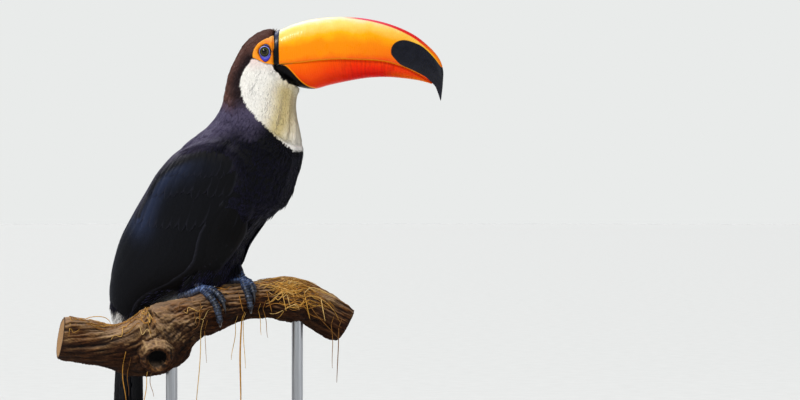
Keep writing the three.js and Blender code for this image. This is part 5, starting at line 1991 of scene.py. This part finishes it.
# %% [markdown]
# ## Coir-like fibres
#
# Dry golden fibres cling to the top of the branch, cross each other, and end loose. A few long
# strands hang down. Every strand is a thin tube: its line is drawn on the perch's chart, lifted a
# little off the bark, and its loose end leaves the chart and droops.

# %% Strands
FIBRE_SIDES = 5
STRAND_STEPS = 22


def strand_tube(line, thick):
    line = np.asarray(line, float)
    share = np.linspace(0, 1, len(line))
    width = thick * (0.35 + 0.65 * np.sin(np.pi * np.clip(share * 0.9 + 0.08, 0, 1)) ** 0.6)
    upward = np.tile((0.12, 0.3, 1.0), (len(line), 1))
    return tube(line, np.repeat(width[:, None], FIBRE_SIDES, axis=1), upward)


def clinging_strand(rng, share, angle, reach, twist, thick, loose):
    """A strand that lies on the bark from one place, and lifts away at its end."""
    along = np.linspace(0, 1, STRAND_STEPS)
    sway = 0.004 * np.sin(along * rng.uniform(4, 9) + rng.uniform(0, 6))
    shares = share + along * reach / PERCH_LENGTH + sway
    angles = angle + twist * along + 0.13 * np.sin(along * rng.uniform(5, 11) + rng.uniform(0, 6))
    lift = rng.uniform(0.2, 1.3) + 0.5 * np.sin(np.pi * along)
    lift = lift + loose * np.maximum(along - 0.72, 0) ** 1.5 * 6
    shares = np.clip(shares, 0.01, 0.997)
    line = perch_point(shares, angles, lift + bark_swell(perch_middle(shares)[:, 0], angles))
    droop = np.maximum(along - 0.8, 0) ** 2 * loose * rng.uniform(2, 12)
    line[:, 2] -= droop
    return strand_tube(line, thick)


def hanging_strand(rng, x, degrees, depth, sway, thick):
    """A strand that comes over the front of the branch and hangs down."""
    start = [perch_at_x(x + 3 * step, degrees - 26 * step, 1.0) for step in (1.0, 0.66, 0.33, 0.0)]
    foot = start[-1]
    steps = np.linspace(0, 1, STRAND_STEPS)[1:]
    bend = rng.uniform(-1.6, 1.6, 2)
    fall = [sway * steps + bend[0] * np.sin(steps * 5), -1.2 + bend[1] * np.sin(steps * 4), -depth * steps]
    stations = [*start, *(foot + np.transpose(fall))]
    dense = through(stations, np.linspace(0, len(stations) - 1, 2 * STRAND_STEPS))
    return strand_tube(dense, thick)


HANGING = [  # x, degrees round, depth, sway, thickness
    (-109, 128, 44, 1.5, 0.55),
    (-104, 140, 30, -1, 0.35),
    (-86, 150, 36, -3, 0.5),
    (-82, 152, 22, 2, 0.35),
    (-31, 128, 88, -4.5, 0.5),
    (-27, 134, 34, 2, 0.3),
    (4, 150, 40, -3, 0.4),
    (11, 146, 98, -2.5, 0.95),
    (12.5, 150, 52, 1.5, 0.4),
    (28, 124, 26, 4, 0.35),
    (33, 120, 30, 6, 0.35),
    (104, 116, 46, 2, 0.4),
    (112, 112, 58, -2, 0.55),
]
OVER_THE_FRONT = [  # x, first and last degrees round
    (8, 60, 120), (21, 72, 128), (37, 66, 132), (52, 58, 124), (76, 62, 130), (93, 60, 120),
]
LOOP = [(-150, 0.6), (-146, 3), (-139, 4.6), (-131, 3.6), (-126, 0), (-124, -4)]  # x, lift
TOE_CLEARANCE = 4.8

toe_points = [even_line(toe_stations(foot, toe), 1.5)[0] for foot in FEET.values() for toe in foot["toes"]]
toe_tree = search_tree(np.concatenate(toe_points).tolist())


def clear_of_toes(strand):
    return all(toe_tree.find(point)[2] > TOE_CLEARANCE for point in strand[0].tolist())


strands = []
fibre_rng = np.random.default_rng(21)
draw = fibre_rng.uniform
for _ in range(300):
    share = 0.56 + 0.41 * draw() ** 0.8
    angle = fibre_rng.triangular(-1.1, 0.5, 2.0)
    reach = draw(14, 48) * (-1 if share > 0.85 else fibre_rng.choice((-1, 1)))
    twist, thick, loose = fibre_rng.normal(0, 0.55), draw(0.26, 0.55), draw(0, 2.2)
    strands.append(clinging_strand(fibre_rng, share, angle, reach, twist, thick, loose))
for _ in range(70):
    share = draw(0.02, 0.3)
    angle = fibre_rng.triangular(-0.8, 0.1, 1.1)
    reach = draw(10, 34) * fibre_rng.choice((-1, 1))
    twist, thick, loose = fibre_rng.normal(0, 0.35), draw(0.25, 0.45), draw(0, 1.6)
    strands.append(clinging_strand(fibre_rng, share, angle, reach, twist, thick, loose))
for x, start, end in OVER_THE_FRONT:
    turns = range(start, end, 6)
    line = [perch_at_x(x + 0.088 * (turn - start), turn, 1.6 + 0.06 * max(turn - 90, 0)) for turn in turns]
    strands.append(strand_tube(through(line, np.linspace(0, len(line) - 1, STRAND_STEPS)), 0.5))
loop_line = [perch_at_x(x, 6, lift) for x, lift in LOOP]
strands.append(strand_tube(through(loop_line, np.linspace(0, len(LOOP) - 1, 30)), 0.45))

laid_count = len(strands)
strands = [strand for strand in strands if clear_of_toes(strand)]
print(laid_count - len(strands), "strands left out, as they would run through the toes")
for x, degrees, depth, sway, thick in HANGING:
    strands.append(hanging_strand(fibre_rng, x, degrees, depth, sway, thick))

fibre = Finish("dry_fibre", Roughness=0.6, Specular_IOR_Level=0.3)
tone = fibre.attribute("strand").ramp(
    (0.0, (96, 58, 22)), (0.35, (168, 112, 36)), (0.7, (206, 152, 60)), (1.0, (226, 190, 122))
)
shade = fibre.noise(300, 3).stretch(0.3, 0.7, 0.7, 1.2)
fibre.wire("Base Color", fibre.stained(tone, fibre.grey(shade)))

tones = np.concatenate([np.full(len(strand[0]), fibre_rng.uniform()) for strand in strands])
closed_piece("branch_fibres", *joined(strands), {"strand": tones}, fibre.material, "bark_fibre")
print(len(strands), "strands")

# %% [markdown]
# ## The display stand
#
# The stand is plain, so its care goes into edges and surface: the base is a rounded board with a
# rolled edge, cut from one plank so that the grain runs its whole length, and the rods are drawn
# steel with fine marks along them. They end a few millimetres inside the bark.

# %% Base and rods
BASE_LENGTH = 310
BASE_WIDTH = 196
BASE_HEIGHT = 15
BASE_CORNER = 28
BASE_EDGE = 2
ROD_PLACES = (68, -62)
ROD_BURIED = 7
ROD_RADIUS = 6
ROD_SIDES = 64
CORNER_STEPS = 24
EDGE_STEPS = 8


def rounded_outline(length, width, corner):
    points = []
    for index, (cx, cy) in enumerate(((1, 1), (-1, 1), (-1, -1), (1, -1))):
        middle = np.array([cx * (length / 2 - corner), cy * (width / 2 - corner)])
        for step in range(CORNER_STEPS + 1):
            turn = math.radians(90 * index + 90 * step / CORNER_STEPS)
            points.append(middle + corner * np.array([math.cos(turn), math.sin(turn)]))
    return np.array(points)


def board(length, width, height, corner, edge):
    """A board with rolled edges, ring on ring from the middle of its underside to its top."""
    roll = np.linspace(0, np.pi / 2, EDGE_STEPS)
    rings = [(edge * (1 - math.sin(turn)), edge * (1 - math.cos(turn))) for turn in roll]
    rings += [(edge * (1 - math.cos(turn)), height - edge * (1 - math.sin(turn))) for turn in roll]
    lower = sorted(rings[:EDGE_STEPS], key=lambda ring: ring[1])
    points = []
    for inset, z in [*lower, *rings[EDGE_STEPS:]]:
        outline = rounded_outline(length - 2 * inset, width - 2 * inset, corner - inset)
        points.append(np.column_stack([outline, np.full(len(outline), z)]))
    return np.concatenate(points), grid_faces(len(points), len(points[0]), wrap=True, capped=True)


walnut = Finish("walnut", Roughness=0.4, Coat_Weight=0.25, Coat_Roughness=0.2)
rings = (walnut.noise(3.2, 3, drawn=(1.2, 6, 6)) * 58).waves()
grain = rings * 0.35 + walnut.noise(5, 5, 0.6, drawn=(4, 90, 90)) * 0.75
tone = grain.ramp((0.2, (44, 27, 18)), (0.45, (78, 48, 30)), (0.65, (104, 67, 42)), (0.9, (134, 92, 60)))
walnut.wire("Base Color", tone)
walnut.bump(walnut.noise(5, 3, drawn=(8, 240, 240)), 0.06)

steel = Finish("drawn_steel", Roughness=0.3, Metallic=1.0)
marks = steel.noise(3, 3, drawn=(400, 400, 6))
steel.wire("Base Color", marks.ramp((0.3, (168, 170, 174)), (0.7, (196, 198, 202))))
steel.bump(steel.noise(4, 2, drawn=(500, 500, 4)), 0.03)


def node_middle(name):
    return np.array(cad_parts[name].bound_box).mean(0) / MM


base_points, base_faces = board(BASE_LENGTH, BASE_WIDTH, BASE_HEIGHT, BASE_CORNER, BASE_EDGE)
base_points[:, :2] += node_middle("stand_base")[:2]
base = closed_piece("stand_board", base_points, base_faces, None, walnut.material, "walnut")
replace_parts(base, "stand_base")
for number, x in enumerate(ROD_PLACES, 1):
    top = perch_point(perch_share(x), np.pi)[2] + ROD_BURIED
    heights = [BASE_HEIGHT - 0.4, BASE_HEIGHT + 0.3, BASE_HEIGHT + 0.9, *np.linspace(20, top, 20)]
    line = np.array([(x, x * math.tan(math.radians(PERCH_SWING)), height) for height in heights])
    rod = tube(line, np.full((len(line), ROD_SIDES), ROD_RADIUS), np.tile((1.0, 0.0, 0.0), (len(line), 1)))
    rod = closed_piece(f"stand_steel_{number}", *rod, None, steel.material, "steel")
    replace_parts(rod, min(("stand_rod_1", "stand_rod_2"), key=lambda name: abs(node_middle(name)[0] - x)))


# %% Finish
visual_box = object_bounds()
boxes = {"cad": CAD_BOX, "visual": visual_box}
{name: [list(corner) for corner in box] for name, box in boxes.items()}
